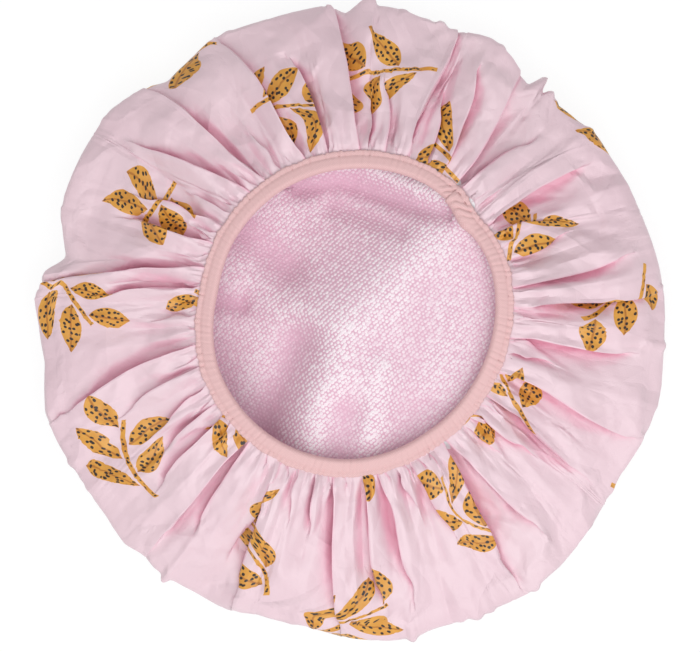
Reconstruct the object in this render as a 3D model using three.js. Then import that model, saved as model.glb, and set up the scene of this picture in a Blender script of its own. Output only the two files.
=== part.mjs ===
// A lined shower cap with a gathered, elasticated edge, lying on its crown with its mouth up.
// Millimetres, +Z up. The origin is the middle of the cap's outline, on the surface it lies on.
import * as THREE from "three";

// The cap as it lies
const CAP_WIDTH = 300; // mean width across the puffed rim
const RIM_HEIGHT = 17; // height of the widest place
const CROWN_REST_WIDTH = 240; // flat part of the crown, on the surface
const MOUTH_WIDTH = 144; // mean width of the mouth, at the middle of the binding
const MOUTH_HEIGHT = 42; // height of the middle of the binding
const MOUTH_OFFSET_X = 2; // the mouth lies a little off the middle
const MOUTH_OFFSET_Y = 5;
const MOUTH_OVAL = 1.6; // how far the mouth bulges at its two far ends
const MOUTH_OVAL_TURN = THREE.MathUtils.degToRad(65);
const MOUTH_SAG = 1.5; // how far the edge rises and dips on its way round
const BINDING_TILT = THREE.MathUtils.degToRad(16); // the bound edge slopes up towards the mouth

// The bulge of the puffed side, as the reach of its curves beside the rim, the crown and the edge
const RIM_ROUNDNESS = 9;
const CROWN_ROUNDNESS = 17;
const EDGE_REACH = 34;

// Where the rim stands out or draws in: angle in degrees, millimetres from the mean
const RIM_LOBES = [
  [0, -0.5], [19, -1.5], [38, -2], [54, -8], [63, 2.5], [70, -1], [84, 3], [91, -2], [105, 1],
  [116, 1.5], [127, -5], [138, 4], [156, -0.5], [167, -11], [175, 1], [187, -3.5], [196, 1],
  [210, -2.5], [224, -0.5], [247, -2.5], [257, -6], [282, 2], [303, 3], [330, -3], [345, 1],
];

// The gathers: main folds that run from the bound edge over the rim
const FOLD_COUNT = 23;
const FOLD_HEIGHT = 7; // crest to valley, half way between the rim and the edge

// The lining is loose over the crown: it stands up into the mouth, higher towards one side
const LOOSE_WIDTH = 152; // the loose part, as wide as the mouth shows
const LOOSE_LOW = 12; // its height over the crown on the far side
const LOOSE_HIGH = 26; // and on the near side, close below the mouth
const LOOSE_SLOPE = 60; // width of the slope between the two
const LOOSE_SLOPE_END = 14; // where the slope ends, from the middle
const LOOSE_TURN = THREE.MathUtils.degToRad(-30); // the way that it rises

// The layers
const SHELL_CLOTH = 0.5;
const WATERPROOF_FILM = 0.15;
const TERRY_LINING = 1.2;
const BINDING_TAPE = 0.5;
const BINDING_WIDTH = 7.6;
const BINDING_FOLD_DEPTH = 1.2; // depth of the round of the folded tape
const BINDING_LAP = 14; // the tape's end goes over its start
const BINDING_LAP_AT = THREE.MathUtils.degToRad(40);
const ELASTIC_WIDTH = 3.5;
const ELASTIC_THICKNESS = 0.8;
const ELASTIC_LAP = 12;
const ELASTIC_LAP_AT = THREE.MathUtils.degToRad(205);
const LAP_RAMP = 6; // length over which a lapping end climbs
const THREAD = 0.3;
const SEAM_INSET = 2.3; // stitch line, from the outer edge of the binding
const TACK_TURNS = 5; // zigzags of the tack across the elastic
const TACK_MARGIN = 1; // from the tack to the edges of the elastic lap
const EDGE_LEAD = 1.5; // the gathers lie flat this far outside the binding
const CLEARANCE = 0.3;

// Sampling
const SAMPLES_PER_FOLD = 3;
const SEGMENTS = FOLD_COUNT * SAMPLES_PER_FOLD;
const FULL_TURN = Math.PI * 2;
const UP = new THREE.Vector3(0, 0, 1);

// Sizes that follow
const mouthRadius = MOUTH_WIDTH / 2;
const hemStack = SHELL_CLOTH + WATERPROOF_FILM + TERRY_LINING + 4 * CLEARANCE;
const elasticStack = 2 * ELASTIC_THICKNESS + THREAD + 4 * CLEARANCE;
const foldInside = Math.max(hemStack, elasticStack) / 2; // half the clear height in the folded tape
const foldOutside = foldInside + BINDING_TAPE;
const bindingEdge = BINDING_WIDTH / 2;
const elasticInner = BINDING_FOLD_DEPTH - bindingEdge;
const elasticOuter = elasticInner + ELASTIC_WIDTH;
const hemEdge = elasticOuter + CLEARANCE; // the cut edges of the layers butt against the elastic
const shellLevel = foldInside - CLEARANCE; // the shell lies under the upper leg of the tape
const lapStep = BINDING_TAPE + CLEARANCE;
const lapAngle = BINDING_LAP / mouthRadius;
const rampAngle = LAP_RAMP / mouthRadius;
const elasticLapAngle = ELASTIC_LAP / mouthRadius;

// Distance of the rim from the middle, eased between the lobes
function rimRadius(angle) {
  const degrees = THREE.MathUtils.euclideanModulo(THREE.MathUtils.radToDeg(angle), 360);
  const next = RIM_LOBES.findIndex(([lobe]) => lobe > degrees);
  const [endAngle, endOut] = next < 0 ? [RIM_LOBES[0][0] + 360, RIM_LOBES[0][1]] : RIM_LOBES[next];
  const [startAngle, startOut] = RIM_LOBES[next < 0 ? RIM_LOBES.length - 1 : next - 1];
  const share = THREE.MathUtils.smoothstep(degrees, startAngle, endAngle);
  return CAP_WIDTH / 2 + THREE.MathUtils.lerp(startOut, endOut, share);
}

function polar(angle, radius, height) {
  return new THREE.Vector3(radius * Math.cos(angle), radius * Math.sin(angle), height);
}

// Middle line of the bound edge
function mouthLine(angle) {
  const radius = mouthRadius + MOUTH_OVAL * Math.cos(2 * (angle - MOUTH_OVAL_TURN));
  const point = polar(angle, radius, MOUTH_HEIGHT + MOUTH_SAG * Math.cos(3 * angle));
  return point.add(new THREE.Vector3(MOUTH_OFFSET_X, MOUTH_OFFSET_Y, 0));
}

// Frame of the bound edge: along the edge, across it away from the mouth, and square to its face
function edgeFrame(angle) {
  const step = 1e-3;
  const along = mouthLine(angle + step).sub(mouthLine(angle - step)).normalize();
  const level = along.clone().cross(UP).normalize();
  const across = level.clone().applyAxisAngle(along, BINDING_TILT);
  const face = across.clone().cross(along).normalize();
  return { origin: mouthLine(angle), along, across, face };
}

function edgePoint(angle, acrossBy, faceBy) {
  const { origin, across, face } = edgeFrame(angle);
  return origin.addScaledVector(across, acrossBy).addScaledVector(face, faceBy);
}

// Outside of the unfolded shell at one angle: points from the crown to the hem, with their
// outward normals and the share of the gathers that each carries
function meridian(angle) {
  const around = new THREE.Vector3(-Math.sin(angle), Math.cos(angle), 0);
  const outward = polar(angle, 1, 0);
  const crownEdge = polar(angle, CROWN_REST_WIDTH / 2, 0);
  const rim = polar(angle, rimRadius(angle), RIM_HEIGHT);
  const { across, face } = edgeFrame(angle);
  const entry = edgePoint(angle, bindingEdge + EDGE_LEAD, shellLevel);
  const hem = edgePoint(angle, hemEdge, shellLevel);
  const lower = new THREE.CubicBezierCurve3(
    crownEdge,
    crownEdge.clone().addScaledVector(outward, CROWN_ROUNDNESS),
    rim.clone().addScaledVector(UP, -RIM_ROUNDNESS),
    rim,
  );
  const upper = new THREE.CubicBezierCurve3(
    rim,
    rim.clone().addScaledVector(UP, RIM_ROUNDNESS),
    entry.clone().addScaledVector(across, EDGE_REACH),
    entry,
  );
  const onCurve = (curve, share, gather) => ({
    point: curve.getPoint(share),
    normal: around.clone().cross(curve.getTangent(share)).normalize(),
    gather,
  });
  const down = UP.clone().negate();
  return [
    { point: polar(angle, CROWN_REST_WIDTH / 4, 0), normal: down, gather: 0 },
    { point: crownEdge, normal: down, gather: 0 },
    onCurve(lower, 0.45, 0.05),
    onCurve(lower, 0.78, 0.2),
    onCurve(lower, 1, 0.35),
    onCurve(upper, 0.3, 0.75),
    onCurve(upper, 0.65, 1),
    { point: entry, normal: face, gather: 0 },
    { point: hem, normal: face, gather: 0 },
  ];
}

// Height of the main folds over the unfolded shell, uneven from fold to fold
function foldWave(step) {
  const angle = (step / SEGMENTS) * FULL_TURN;
  const evenness = 0.8 + 0.2 * Math.sin(5 * angle + 1);
  return (FOLD_HEIGHT / 2) * evenness * Math.cos((FULL_TURN * step) / SAMPLES_PER_FOLD);
}

// Height of the loose lining over the crown
function looseHeight(angle, radius) {
  const rising = radius * Math.cos(angle - LOOSE_TURN);
  const share = THREE.MathUtils.smoothstep(rising, LOOSE_SLOPE_END - LOOSE_SLOPE, LOOSE_SLOPE_END);
  return THREE.MathUtils.lerp(LOOSE_LOW, LOOSE_HIGH, share);
}

// The same line from crown to hem, with the crown loose and one ring fewer beside it
function looseMeridian(angle) {
  const [{ normal }, crownEdge, , ...side] = meridian(angle);
  const loose = [LOOSE_WIDTH / 4, LOOSE_WIDTH / 2].map((radius) => ({
    point: polar(angle, radius, looseHeight(angle, radius)),
    normal,
    gather: 0,
  }));
  return [...loose, crownEdge, ...side];
}

// One layer of cloth: two grids of points, joined at the hem and closed at the crown's centre
function clothLayer(depth, thickness, { gathered = false, loose = false } = {}) {
  const positions = [];
  const indices = [];
  const section = loose ? looseMeridian : meridian;
  const rings = section(0).length;
  const addSurface = (surfaceDepth) => {
    const first = positions.length / 3;
    for (let step = 0; step < SEGMENTS; step += 1) {
      const angle = (step / SEGMENTS) * FULL_TURN;
      for (const { point, normal, gather } of section(angle)) {
        const raised = gathered ? foldWave(step) : -FOLD_HEIGHT / 2;
        point.addScaledVector(normal, raised * gather - surfaceDepth);
        positions.push(point.x, point.y, point.z);
      }
    }
    positions.push(0, 0, surfaceDepth + (loose ? looseHeight(0, 0) : 0));
    return first;
  };
  const outside = addSurface(depth);
  const inside = addSurface(depth + thickness);
  const centre = SEGMENTS * rings;
  for (let step = 0; step < SEGMENTS; step += 1) {
    const here = step * rings;
    const next = ((step + 1) % SEGMENTS) * rings;
    indices.push(outside + centre, outside + next, outside + here);
    indices.push(inside + centre, inside + here, inside + next);
    for (let ring = 0; ring + 1 < rings; ring += 1) {
      const [a, b, c, d] = [here + ring, next + ring, next + ring + 1, here + ring + 1];
      indices.push(outside + a, outside + b, outside + c, outside + a, outside + c, outside + d);
      indices.push(inside + a, inside + c, inside + b, inside + a, inside + d, inside + c);
    }
    const [hemHere, hemNext] = [here + rings - 1, next + rings - 1];
    indices.push(outside + hemHere, outside + hemNext, inside + hemNext);
    indices.push(outside + hemHere, inside + hemNext, inside + hemHere);
  }
  return solid(positions, indices);
}

function solid(positions, indices) {
  const geometry = new THREE.BufferGeometry();
  geometry.setAttribute("position", new THREE.Float32BufferAttribute(positions, 3));
  geometry.setIndex(indices);
  geometry.computeVertexNormals();
  return geometry;
}

// A strip that follows the bound edge. Each station is an angle and a section, listed
// anticlockwise with the mouth on its left. It is a ring, or open with flat ends.
function edgeStrip(stations, { ring = false } = {}) {
  const positions = [];
  const indices = [];
  const count = stations[0].section.length;
  for (const { angle, section } of stations) {
    for (const { x, y } of section) {
      positions.push(...edgePoint(angle, x, y).toArray());
    }
  }
  const spans = ring ? stations.length : stations.length - 1;
  for (let span = 0; span < spans; span += 1) {
    const here = span * count;
    const next = ((span + 1) % stations.length) * count;
    for (let corner = 0; corner < count; corner += 1) {
      const following = (corner + 1) % count;
      indices.push(here + corner, next + following, here + following);
      indices.push(here + corner, next + corner, next + following);
    }
  }
  if (!ring) {
    const last = (stations.length - 1) * count;
    for (const [a, b, c] of THREE.ShapeUtils.triangulateShape(stations[0].section, [])) {
      indices.push(a, b, c);
      indices.push(last + a, last + c, last + b);
    }
  }
  return solid(positions, indices);
}

// Angles once round from a start, and on over a lap, with how far the end has climbed at each
function lappedAngles(start, lap) {
  const turned = FULL_TURN - rampAngle;
  const stations = [];
  for (let step = 0; step < SEGMENTS; step += 1) {
    stations.push({ angle: start + (turned * step) / (SEGMENTS - 1), climb: 0 });
  }
  for (const share of [0, 0.5, 1]) {
    stations.push({ angle: start + FULL_TURN + lap * share, climb: 1 });
  }
  return stations;
}

// Section of the folded tape: a U round the hems, open away from the mouth
function bindingSection(climb) {
  const grow = climb * lapStep;
  const middle = BINDING_FOLD_DEPTH - bindingEdge;
  const arc = (depth, height) =>
    [90, 135, 180, 225, 270].map((degrees) => {
      const turn = THREE.MathUtils.degToRad(degrees);
      return new THREE.Vector2(middle + depth * Math.cos(turn), height * Math.sin(turn));
    });
  const outside = arc(BINDING_FOLD_DEPTH + grow, foldOutside + grow);
  const inside = arc(BINDING_FOLD_DEPTH - BINDING_TAPE + grow, foldInside + grow).reverse();
  return [
    new THREE.Vector2(bindingEdge, foldOutside + grow),
    ...outside,
    new THREE.Vector2(bindingEdge, -foldOutside - grow),
    new THREE.Vector2(bindingEdge, -foldInside - grow),
    ...inside,
    new THREE.Vector2(bindingEdge, foldInside + grow),
  ];
}

function rectangle(left, right, bottom, top) {
  return [
    new THREE.Vector2(left, bottom),
    new THREE.Vector2(right, bottom),
    new THREE.Vector2(right, top),
    new THREE.Vector2(left, top),
  ];
}

function edgeBinding() {
  const stations = lappedAngles(BINDING_LAP_AT, lapAngle).map(({ angle, climb }) => ({
    angle,
    section: bindingSection(climb),
  }));
  return edgeStrip(stations);
}

// The elastic lies on the lower leg of the tape, and its end laps on top of its start
const elasticBottom = CLEARANCE - foldInside;
const elasticStep = ELASTIC_THICKNESS + CLEARANCE;

function elasticBand() {
  const stations = lappedAngles(ELASTIC_LAP_AT, elasticLapAngle).map(({ angle, climb }) => {
    const bottom = elasticBottom + climb * elasticStep;
    return { angle, section: rectangle(elasticInner, elasticOuter, bottom, bottom + ELASTIC_THICKNESS) };
  });
  return edgeStrip(stations);
}

// Zigzag of thread that tacks the lapped ends of the elastic
function elasticTack() {
  const level = elasticBottom + elasticStep + ELASTIC_THICKNESS + CLEARANCE + THREAD / 2;
  const margin = TACK_MARGIN / mouthRadius;
  const path = new THREE.CurvePath();
  const corners = [];
  for (let turn = 0; turn <= TACK_TURNS; turn += 1) {
    const angle = ELASTIC_LAP_AT + THREE.MathUtils.lerp(margin, elasticLapAngle - margin, turn / TACK_TURNS);
    const side = turn % 2 ? elasticOuter - TACK_MARGIN : elasticInner + TACK_MARGIN;
    corners.push(edgePoint(angle, side, level));
  }
  for (let turn = 0; turn < TACK_TURNS; turn += 1) {
    path.add(new THREE.LineCurve3(corners[turn], corners[turn + 1]));
  }
  const half = THREAD / 2;
  const section = new THREE.Shape(rectangle(-half, half, -half, half));
  return new THREE.ExtrudeGeometry(section, { extrudePath: path, steps: TACK_TURNS * 4 });
}

// Stitch line on one face of the binding, up and over the lap of the tape
function stitchLine(side) {
  const seam = bindingEdge - SEAM_INSET;
  const landing = lapAngle + CLEARANCE / mouthRadius;
  const station = (angle, climb) => {
    const level = side * (foldOutside + climb * lapStep + CLEARANCE + THREAD / 2);
    const half = THREAD / 2;
    const section = rectangle(seam - half, seam + half, level - half, level + half);
    return { angle: BINDING_LAP_AT + angle, section };
  };
  const stations = [station(0, 1), station(landing, 1)];
  const [start, end] = [landing + rampAngle, FULL_TURN - rampAngle];
  for (let step = 0; step < SEGMENTS; step += 1) {
    stations.push(station(THREE.MathUtils.lerp(start, end, step / (SEGMENTS - 1)), 0));
  }
  return edgeStrip(stations, { ring: true });
}

function cloth(color, roughness) {
  return new THREE.MeshStandardMaterial({ color, roughness, metalness: 0 });
}

// The pieces
const cap = new THREE.Group();

function addPiece(name, geometry, material) {
  const mesh = new THREE.Mesh(geometry, material);
  mesh.name = name;
  cap.add(mesh);
  return mesh;
}

const filmDepth = SHELL_CLOTH + CLEARANCE;
const liningDepth = filmDepth + WATERPROOF_FILM + CLEARANCE;

const shell = addPiece("outer_shell", clothLayer(0, SHELL_CLOTH, { gathered: true }), cloth(0xefdbe1, 0.55));
addPiece("waterproof_film", clothLayer(filmDepth, WATERPROOF_FILM), cloth(0xf6f6f8, 0.35));
addPiece(
  "terry_lining",
  clothLayer(liningDepth, TERRY_LINING, { loose: true }),
  cloth(0xebd0dc, 0.95),
);
addPiece("edge_binding", edgeBinding(), cloth(0xebc6c6, 0.75));
addPiece("elastic_band", elasticBand(), cloth(0xf4f2ef, 0.8));
addPiece("elastic_tack", elasticTack(), cloth(0xf4f2ef, 0.7));
addPiece("needle_thread", stitchLine(1), cloth(0xe8c1c1, 0.6));
addPiece("bobbin_thread", stitchLine(-1), cloth(0xe8c1c1, 0.6));

// Bring the middle of the cap's outline to the origin
const outline = new THREE.Box3().setFromObject(shell);
const middle = outline.getCenter(new THREE.Vector3());
cap.position.set(-middle.x, -middle.y, 0);

export default cap;
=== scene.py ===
# %% [markdown]
# # A lined shower cap, lying on its crown
# The real cap is three round cuts of cloth, shell, film and lining, sewn together along their edge.
# An elastic in a folded tape draws that edge in, so the cloth lies in gathers round the mouth.
# The CAD model is the frame: it says where the crown, the rim and the mouth are. This lesson gives
# the cap its looks: cloth folded from the size it was cut to, terry, stitches, finishes and light.

import math

import bmesh
import bpy
import numpy as np
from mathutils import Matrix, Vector
from mathutils.bvhtree import BVHTree
from mathutils.geometry import delaunay_2d_cdt


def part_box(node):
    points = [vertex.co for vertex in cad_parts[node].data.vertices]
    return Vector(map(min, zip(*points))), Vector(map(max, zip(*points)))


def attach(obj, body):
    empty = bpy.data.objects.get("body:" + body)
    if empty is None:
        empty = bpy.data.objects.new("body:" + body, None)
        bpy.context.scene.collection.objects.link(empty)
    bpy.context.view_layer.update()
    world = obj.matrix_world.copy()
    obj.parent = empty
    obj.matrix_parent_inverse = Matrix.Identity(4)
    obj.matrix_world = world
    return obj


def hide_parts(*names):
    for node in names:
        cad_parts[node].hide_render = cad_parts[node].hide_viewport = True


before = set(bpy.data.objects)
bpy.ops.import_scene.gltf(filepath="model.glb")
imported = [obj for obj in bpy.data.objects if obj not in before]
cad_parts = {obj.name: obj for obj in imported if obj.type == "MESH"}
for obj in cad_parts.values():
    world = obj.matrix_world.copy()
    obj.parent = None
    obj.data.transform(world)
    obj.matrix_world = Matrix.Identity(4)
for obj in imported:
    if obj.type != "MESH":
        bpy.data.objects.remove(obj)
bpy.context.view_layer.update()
print("CAD nodes:", ", ".join(sorted(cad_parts)))

# %% [markdown]
# ## Sizes
# All sizes are in millimetres until a mesh is made. The cap lies on a flat crown. Its side turns up
# at the rim, which is a soft fold and not a round bulge, and its top leads in to the bound edge.
# The rim and the mouth aren't true circles, so both get a short list of places that say how far they
# stand out or draw in.

# %% Sizes of the cap
MM = 0.001
CAP_RADIUS = 150.0
CROWN_RADIUS = 120.0
RIM_HEIGHT = 17.0
MOUTH_RADIUS = 72.0
MOUTH_HEIGHT = 42.0
MOUTH_OFFSET = np.array([2.0, 5.0])
MOUTH_OVAL = 1.6
MOUTH_OVAL_TURN = math.radians(65)
MOUTH_SAG = 1.5
BINDING_TILT = math.radians(16)
BINDING_WIDTH = 7.6
BINDING_FOLD = 1.2
TAPE = 0.5
FOLD_OUTSIDE = 2.05
HEM_EDGE = 1.25
LAP_AT = math.radians(40)
LAP_ANGLE = 14.0 / MOUTH_RADIUS
LAP_STEP = 0.8
RAMP_ANGLE = 6.0 / MOUTH_RADIUS
SEAM = BINDING_WIDTH / 2 - 2.3
UP = np.array([0.0, 0.0, 1.0])

# Angle in degrees, millimetres from the mean
RIM_PLACES = [
    (0, -0.5), (6, 0), (19, -1.7), (33, -2.3), (38, -1.8), (42, -4.5), (50, -7.2), (54.5, -7.6), (59, -1),
    (63.5, 2.3), (66, 1.5), (70, -1), (77, 0.5), (83, 2.8), (87, 2.3), (91, -2.5), (93.5, 2.8), (105, 1),
    (116, 1.4), (121, -2), (127, -4.8), (131, -0.5), (138, 3.7), (147, 1.8), (156, -0.5), (162, -6),
    (166.5, -11), (170, -3), (175, 1), (180, -1.5), (187, -3.4), (196, 1), (202, 0), (210, -2.4),
    (218, -2.4), (224, -0.5), (228, -3), (231, -1.5), (240, -3), (247, -2.4), (252, -5.3), (262, -5.3),
    (269, -1.5), (277, 1.4), (282, 1.8), (285, 0), (292, 0), (303, 2.8), (312, 1.8), (325, -2),
    (331, -3), (338, -0.5), (347, 1), (355, -0.5),
]
MOUTH_PLACES = [
    (0, -0.6), (20, 0), (33, -1.6), (39, -3.4), (43, -2.4), (48, -0.3), (60, 0.6), (90, 0), (120, 0.5),
    (150, 0.3), (170, -1.2), (200, 1), (230, 0), (270, -0.9), (300, -2.4), (330, -1.8),
]

binding_low, binding_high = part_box("edge_binding")
cap_centre = np.array((binding_low + binding_high)[:2]) / 2 / MM - MOUTH_OFFSET
print("middle of the rim, mm:", cap_centre.round(2))

# %% Lines that the pieces follow
TURNS = np.array([-360, 0, 360])[:, None]


def round_fit(at, degrees, values, climbing=False):
    """Interpolates values that repeat on every turn, or that climb by 360 with it."""
    repeated = values + TURNS if climbing else np.tile(values, 3)
    return np.interp(at, (degrees + TURNS).ravel(), np.ravel(repeated))


def round_list(places, degrees):
    keys, values = np.array(places, float).T
    return round_fit(degrees % 360, keys, values)


def smooth_ring(values, width):
    kernel = np.exp(-0.5 * (np.arange(-3 * width, 3 * width + 1) / width) ** 2)
    pad = len(kernel) // 2
    wide = np.concatenate([values[-pad:], values, values[:pad]])
    return np.convolve(wide, kernel / kernel.sum(), mode="valid")


def smooth_step(value):
    share = np.clip(value, 0, 1)
    return share * share * (3 - 2 * share)


def polar(angles, radius, height):
    across = np.stack([np.cos(angles), np.sin(angles), 0 * angles], axis=-1)
    return across * np.reshape(radius, (-1, 1)) + UP * np.reshape(height, (-1, 1))


fine_degrees = np.arange(0, 360, 0.25)
closed_degrees = np.append(fine_degrees, 360)
mouth_sway = smooth_ring(round_list(MOUTH_PLACES, fine_degrees), 10)
rim_stand = smooth_ring(round_list(RIM_PLACES, fine_degrees), 3)
print("rim stands out, mm:", rim_stand.min().round(1), "to", rim_stand.max().round(1))


# %% Directions at the bound edge
def mouth_line(angles):
    sway = np.interp(np.degrees(angles) % 360, closed_degrees, np.append(mouth_sway, mouth_sway[0]))
    radius = MOUTH_RADIUS + MOUTH_OVAL * np.cos(2 * (angles - MOUTH_OVAL_TURN)) + sway
    line = polar(angles, radius, MOUTH_HEIGHT + MOUTH_SAG * np.cos(3 * angles))
    line[:, :2] += cap_centre + MOUTH_OFFSET
    return line


def unit(vectors):
    """The same directions, each one long."""
    return vectors / np.maximum(np.linalg.norm(vectors, axis=-1, keepdims=True), 1e-9)


def edge_frame(angles):
    """Middle of the bound edge, its direction away from the mouth, and the direction square to its face."""
    small = 0.02
    along = unit(mouth_line(angles + small) - mouth_line(angles - small))
    level = unit(np.cross(along, UP))
    across = level * math.cos(BINDING_TILT) + np.cross(along, level) * math.sin(BINDING_TILT)
    return mouth_line(angles), across, np.cross(across, along)


def edge_point(angles, across_by, face_by):
    origin, across, face = edge_frame(angles)
    return origin + across * np.reshape(across_by, (-1, 1)) + face * np.reshape(face_by, (-1, 1))


mouth_across = np.ptp(mouth_line(np.radians(fine_degrees)), axis=0)[:2]
print("mouth, mm across:", mouth_across.round(1))

# %% [markdown]
# ## One layer of the bag, not yet gathered
# Seen in section, a layer runs flat from the middle of the crown, turns up round the rim and comes
# back to the edge. Two Bezier curves give that line at every angle, as they do in the CAD model.
# A layer is placed by its distance from the middle of the round cut, because cloth doesn't stretch:
# what is 200 mm from the middle of the cut is 200 mm along the bag as well.

# %% Section of a layer
# How far the handles of the two curves pull, and how many points each curve gets
CROWN_PULL = 17.0
RIM_PULL_BELOW = 9.0
RIM_PULL_ABOVE = 8.0
EDGE_PULL = 34.0
LOWER_STEPS = 60
UPPER_STEPS = 90


def bezier(first, first_pull, last_pull, last, steps):
    t = np.linspace(0, 1, steps)[:, None, None]
    near_first = (1 - t) ** 3 * first + 3 * (1 - t) ** 2 * t * first_pull
    return near_first + 3 * (1 - t) * t * t * last_pull + t**3 * last


def bag_layer(arcs, layer):
    """Points and normals of a layer at these distances from its middle, its cut radius, its rim's place."""
    angles = np.radians(fine_degrees)
    out = polar(angles, 1.0, 0.0)
    _, across, face = edge_frame(angles)
    middle = np.append(cap_centre, 0)
    crown = middle + polar(angles, CROWN_RADIUS, layer["crown"])
    rim_reach = CAP_RADIUS + rim_stand - layer["inset"]
    rim = middle + polar(angles, rim_reach, RIM_HEIGHT + 0.4 * layer["crown"])
    hem = edge_point(angles, HEM_EDGE, layer["level"])
    entry = edge_point(angles, BINDING_WIDTH / 2 + 1, layer["level"])
    pull = entry + across * EDGE_PULL - face * layer["sag"]
    lower = bezier(crown, crown + out * CROWN_PULL, rim - UP * RIM_PULL_BELOW, rim, LOWER_STEPS)
    upper = bezier(rim, rim + UP * RIM_PULL_ABOVE, pull, entry, UPPER_STEPS)[1:]
    start = middle + polar(angles, 0.0, layer["crown"])
    line = np.concatenate([start[None], lower, upper, hem[None]])
    steps = np.linalg.norm(np.diff(line, axis=0), axis=2)
    length = np.concatenate([np.zeros((1, len(angles))), np.cumsum(steps, axis=0)])
    cut = length[-1].mean()
    grid = np.empty((len(arcs), len(angles), 3))
    for k in range(len(angles)):
        reach = arcs / cut * length[-1, k]
        for axis in range(3):
            grid[:, k, axis] = np.interp(reach, length[:, k], line[:, k, axis])
    along = np.gradient(grid, arcs, axis=0)
    around = np.roll(grid, -1, axis=1) - np.roll(grid, 1, axis=1)
    return grid, unit(np.cross(around, along)), cut, length[LOWER_STEPS].mean()


def cut_of(layer):
    """Radius of a layer's round cut, and how far from the middle of the cut the rim lies."""
    return bag_layer(np.array([10.0, 20.0]), layer)[2:]


SHELL_LAYER = {"crown": 0.0, "inset": 0.0, "sag": 0.0, "level": 1.25}
shell_cut, shell_rim = cut_of(SHELL_LAYER)
print("round cut of the shell, mm across:", round(2 * shell_cut, 1))

# %% [markdown]
# ## Gathers
# A round cut of 477 mm has far more edge than the mouth, so on its way in the cloth folds over
# itself. A gathering foot lays nearly all of these folds the same way, as knife pleats: a wide panel
# on top, a narrow strip underneath, and the next panel. Each main pleat below is listed: its angle
# at the bound edge and at its outer end, how far it reaches from the edge to the rim, its size and
# the way it lies. Small pleats fill the gaps close to the edge. On every ring the pleats share the
# spare length, so the cloth keeps its cut size, and the flat place of each point is its UV.

# %% Main pleats and small ones
PLEATS = [
    (5, 6.5, 1.0, 1.2, -1), (12.5, 13.5, 0.9, 1.1, -1), (21.5, 20.5, 0.55, 0.8, -1),
    (28, 23, 0.5, 0.7, 1), (35.5, 33, 0.9, 0.9, -1), (42.5, 41.5, 0.35, 0.5, -1),
    (48.5, 46, 0.75, 0.8, 1), (54.5, 56.5, 1.0, 0.9, -1), (60.5, 63.5, 0.85, 0.9, -1),
    (66, 68, 0.6, 0.8, -1), (73.5, 70.5, 1.0, 1.2, -1), (81.5, 82, 0.6, 0.9, -1),
    (87, 85, 0.5, 0.7, -1), (91, 93.5, 1.0, 1.2, -1), (101.5, 104, 0.8, 0.9, -1),
    (110, 115, 1.0, 1.2, -1), (118, 121, 0.45, 0.6, -1), (125.5, 131, 1.0, 1.2, -1),
    (133, 142, 0.85, 1.2, -1), (142, 145, 0.4, 0.6, -1), (148, 152, 0.7, 0.9, -1),
    (155, 157, 0.75, 0.9, -1), (164.5, 172, 1.0, 1.3, -1), (171.5, 176, 0.75, 0.9, -1),
    (182, 184, 0.4, 0.7, -1), (193.5, 198, 0.95, 1.2, -1), (200.5, 204, 0.65, 0.9, -1),
    (207, 213, 0.6, 0.7, -1), (214.5, 218, 0.6, 0.8, -1), (219.5, 223, 0.75, 1.0, -1),
    (227.5, 228.5, 0.95, 1.0, 1), (232.5, 232.5, 0.8, 0.9, -1), (241.5, 243, 0.75, 0.9, 1),
    (244.5, 247, 0.95, 1.1, -1), (251.5, 253, 0.45, 0.7, -1), (258, 260, 0.5, 0.8, -1),
    (264.5, 268, 1.0, 1.1, -1), (274.5, 276.5, 0.9, 1.1, -1), (279.5, 282.5, 0.9, 1.1, -1),
    (286.5, 288, 0.4, 0.7, -1), (292, 297, 0.65, 0.9, -1), (302, 303, 1.0, 1.1, 1),
    (308.5, 312, 0.9, 1.1, -1), (316, 317, 0.4, 0.7, -1), (322, 324, 0.6, 0.8, -1),
    (331, 326, 0.9, 1.0, -1), (341, 338.5, 1.0, 1.2, -1), (347.5, 346, 0.4, 0.7, -1),
    (354, 353.5, 0.9, 1.0, -1),
]
FINE_PITCH = 2.7
FINE_SHIFT = 0.25
FINE_REACH = (0.1, 0.3)
FINE_SIZE = (0.35, 0.6)
LIE_ALIKE = 0.85


def with_fine_pleats(main, seed):
    """Rows of angle at the edge, angle outside, reach, size, lie, and 1 for a main pleat."""
    rng = np.random.default_rng(seed)
    rows = []
    for k, (band, end, reach, size, lie) in enumerate(main):
        rows.append((band, end, reach, size, lie, 1))
        following = main[(k + 1) % len(main)]
        gap = (following[0] - band) % 360
        end_gap = (following[1] - end) % 360
        extra = int(round(gap / FINE_PITCH)) - 1
        for e in range(extra):
            share = (e + 1 + FINE_SHIFT * rng.uniform(-1, 1)) / (extra + 1)
            lies = -1 if rng.uniform() < LIE_ALIKE else 1
            rows.append((band + gap * share, end + end_gap * share, rng.uniform(*FINE_REACH),
                         rng.uniform(*FINE_SIZE), lies, 0))
    return np.array(rows)


shell_pleats = with_fine_pleats(PLEATS, seed=7)
print("pleats:", len(PLEATS), "main,", len(shell_pleats) - len(PLEATS), "small")

# %% Columns of points that stay with their folds
UNDERLAY_STEPS = 3
PANEL_STEP = 2.6
PANEL_RADIUS = 230.0


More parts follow.
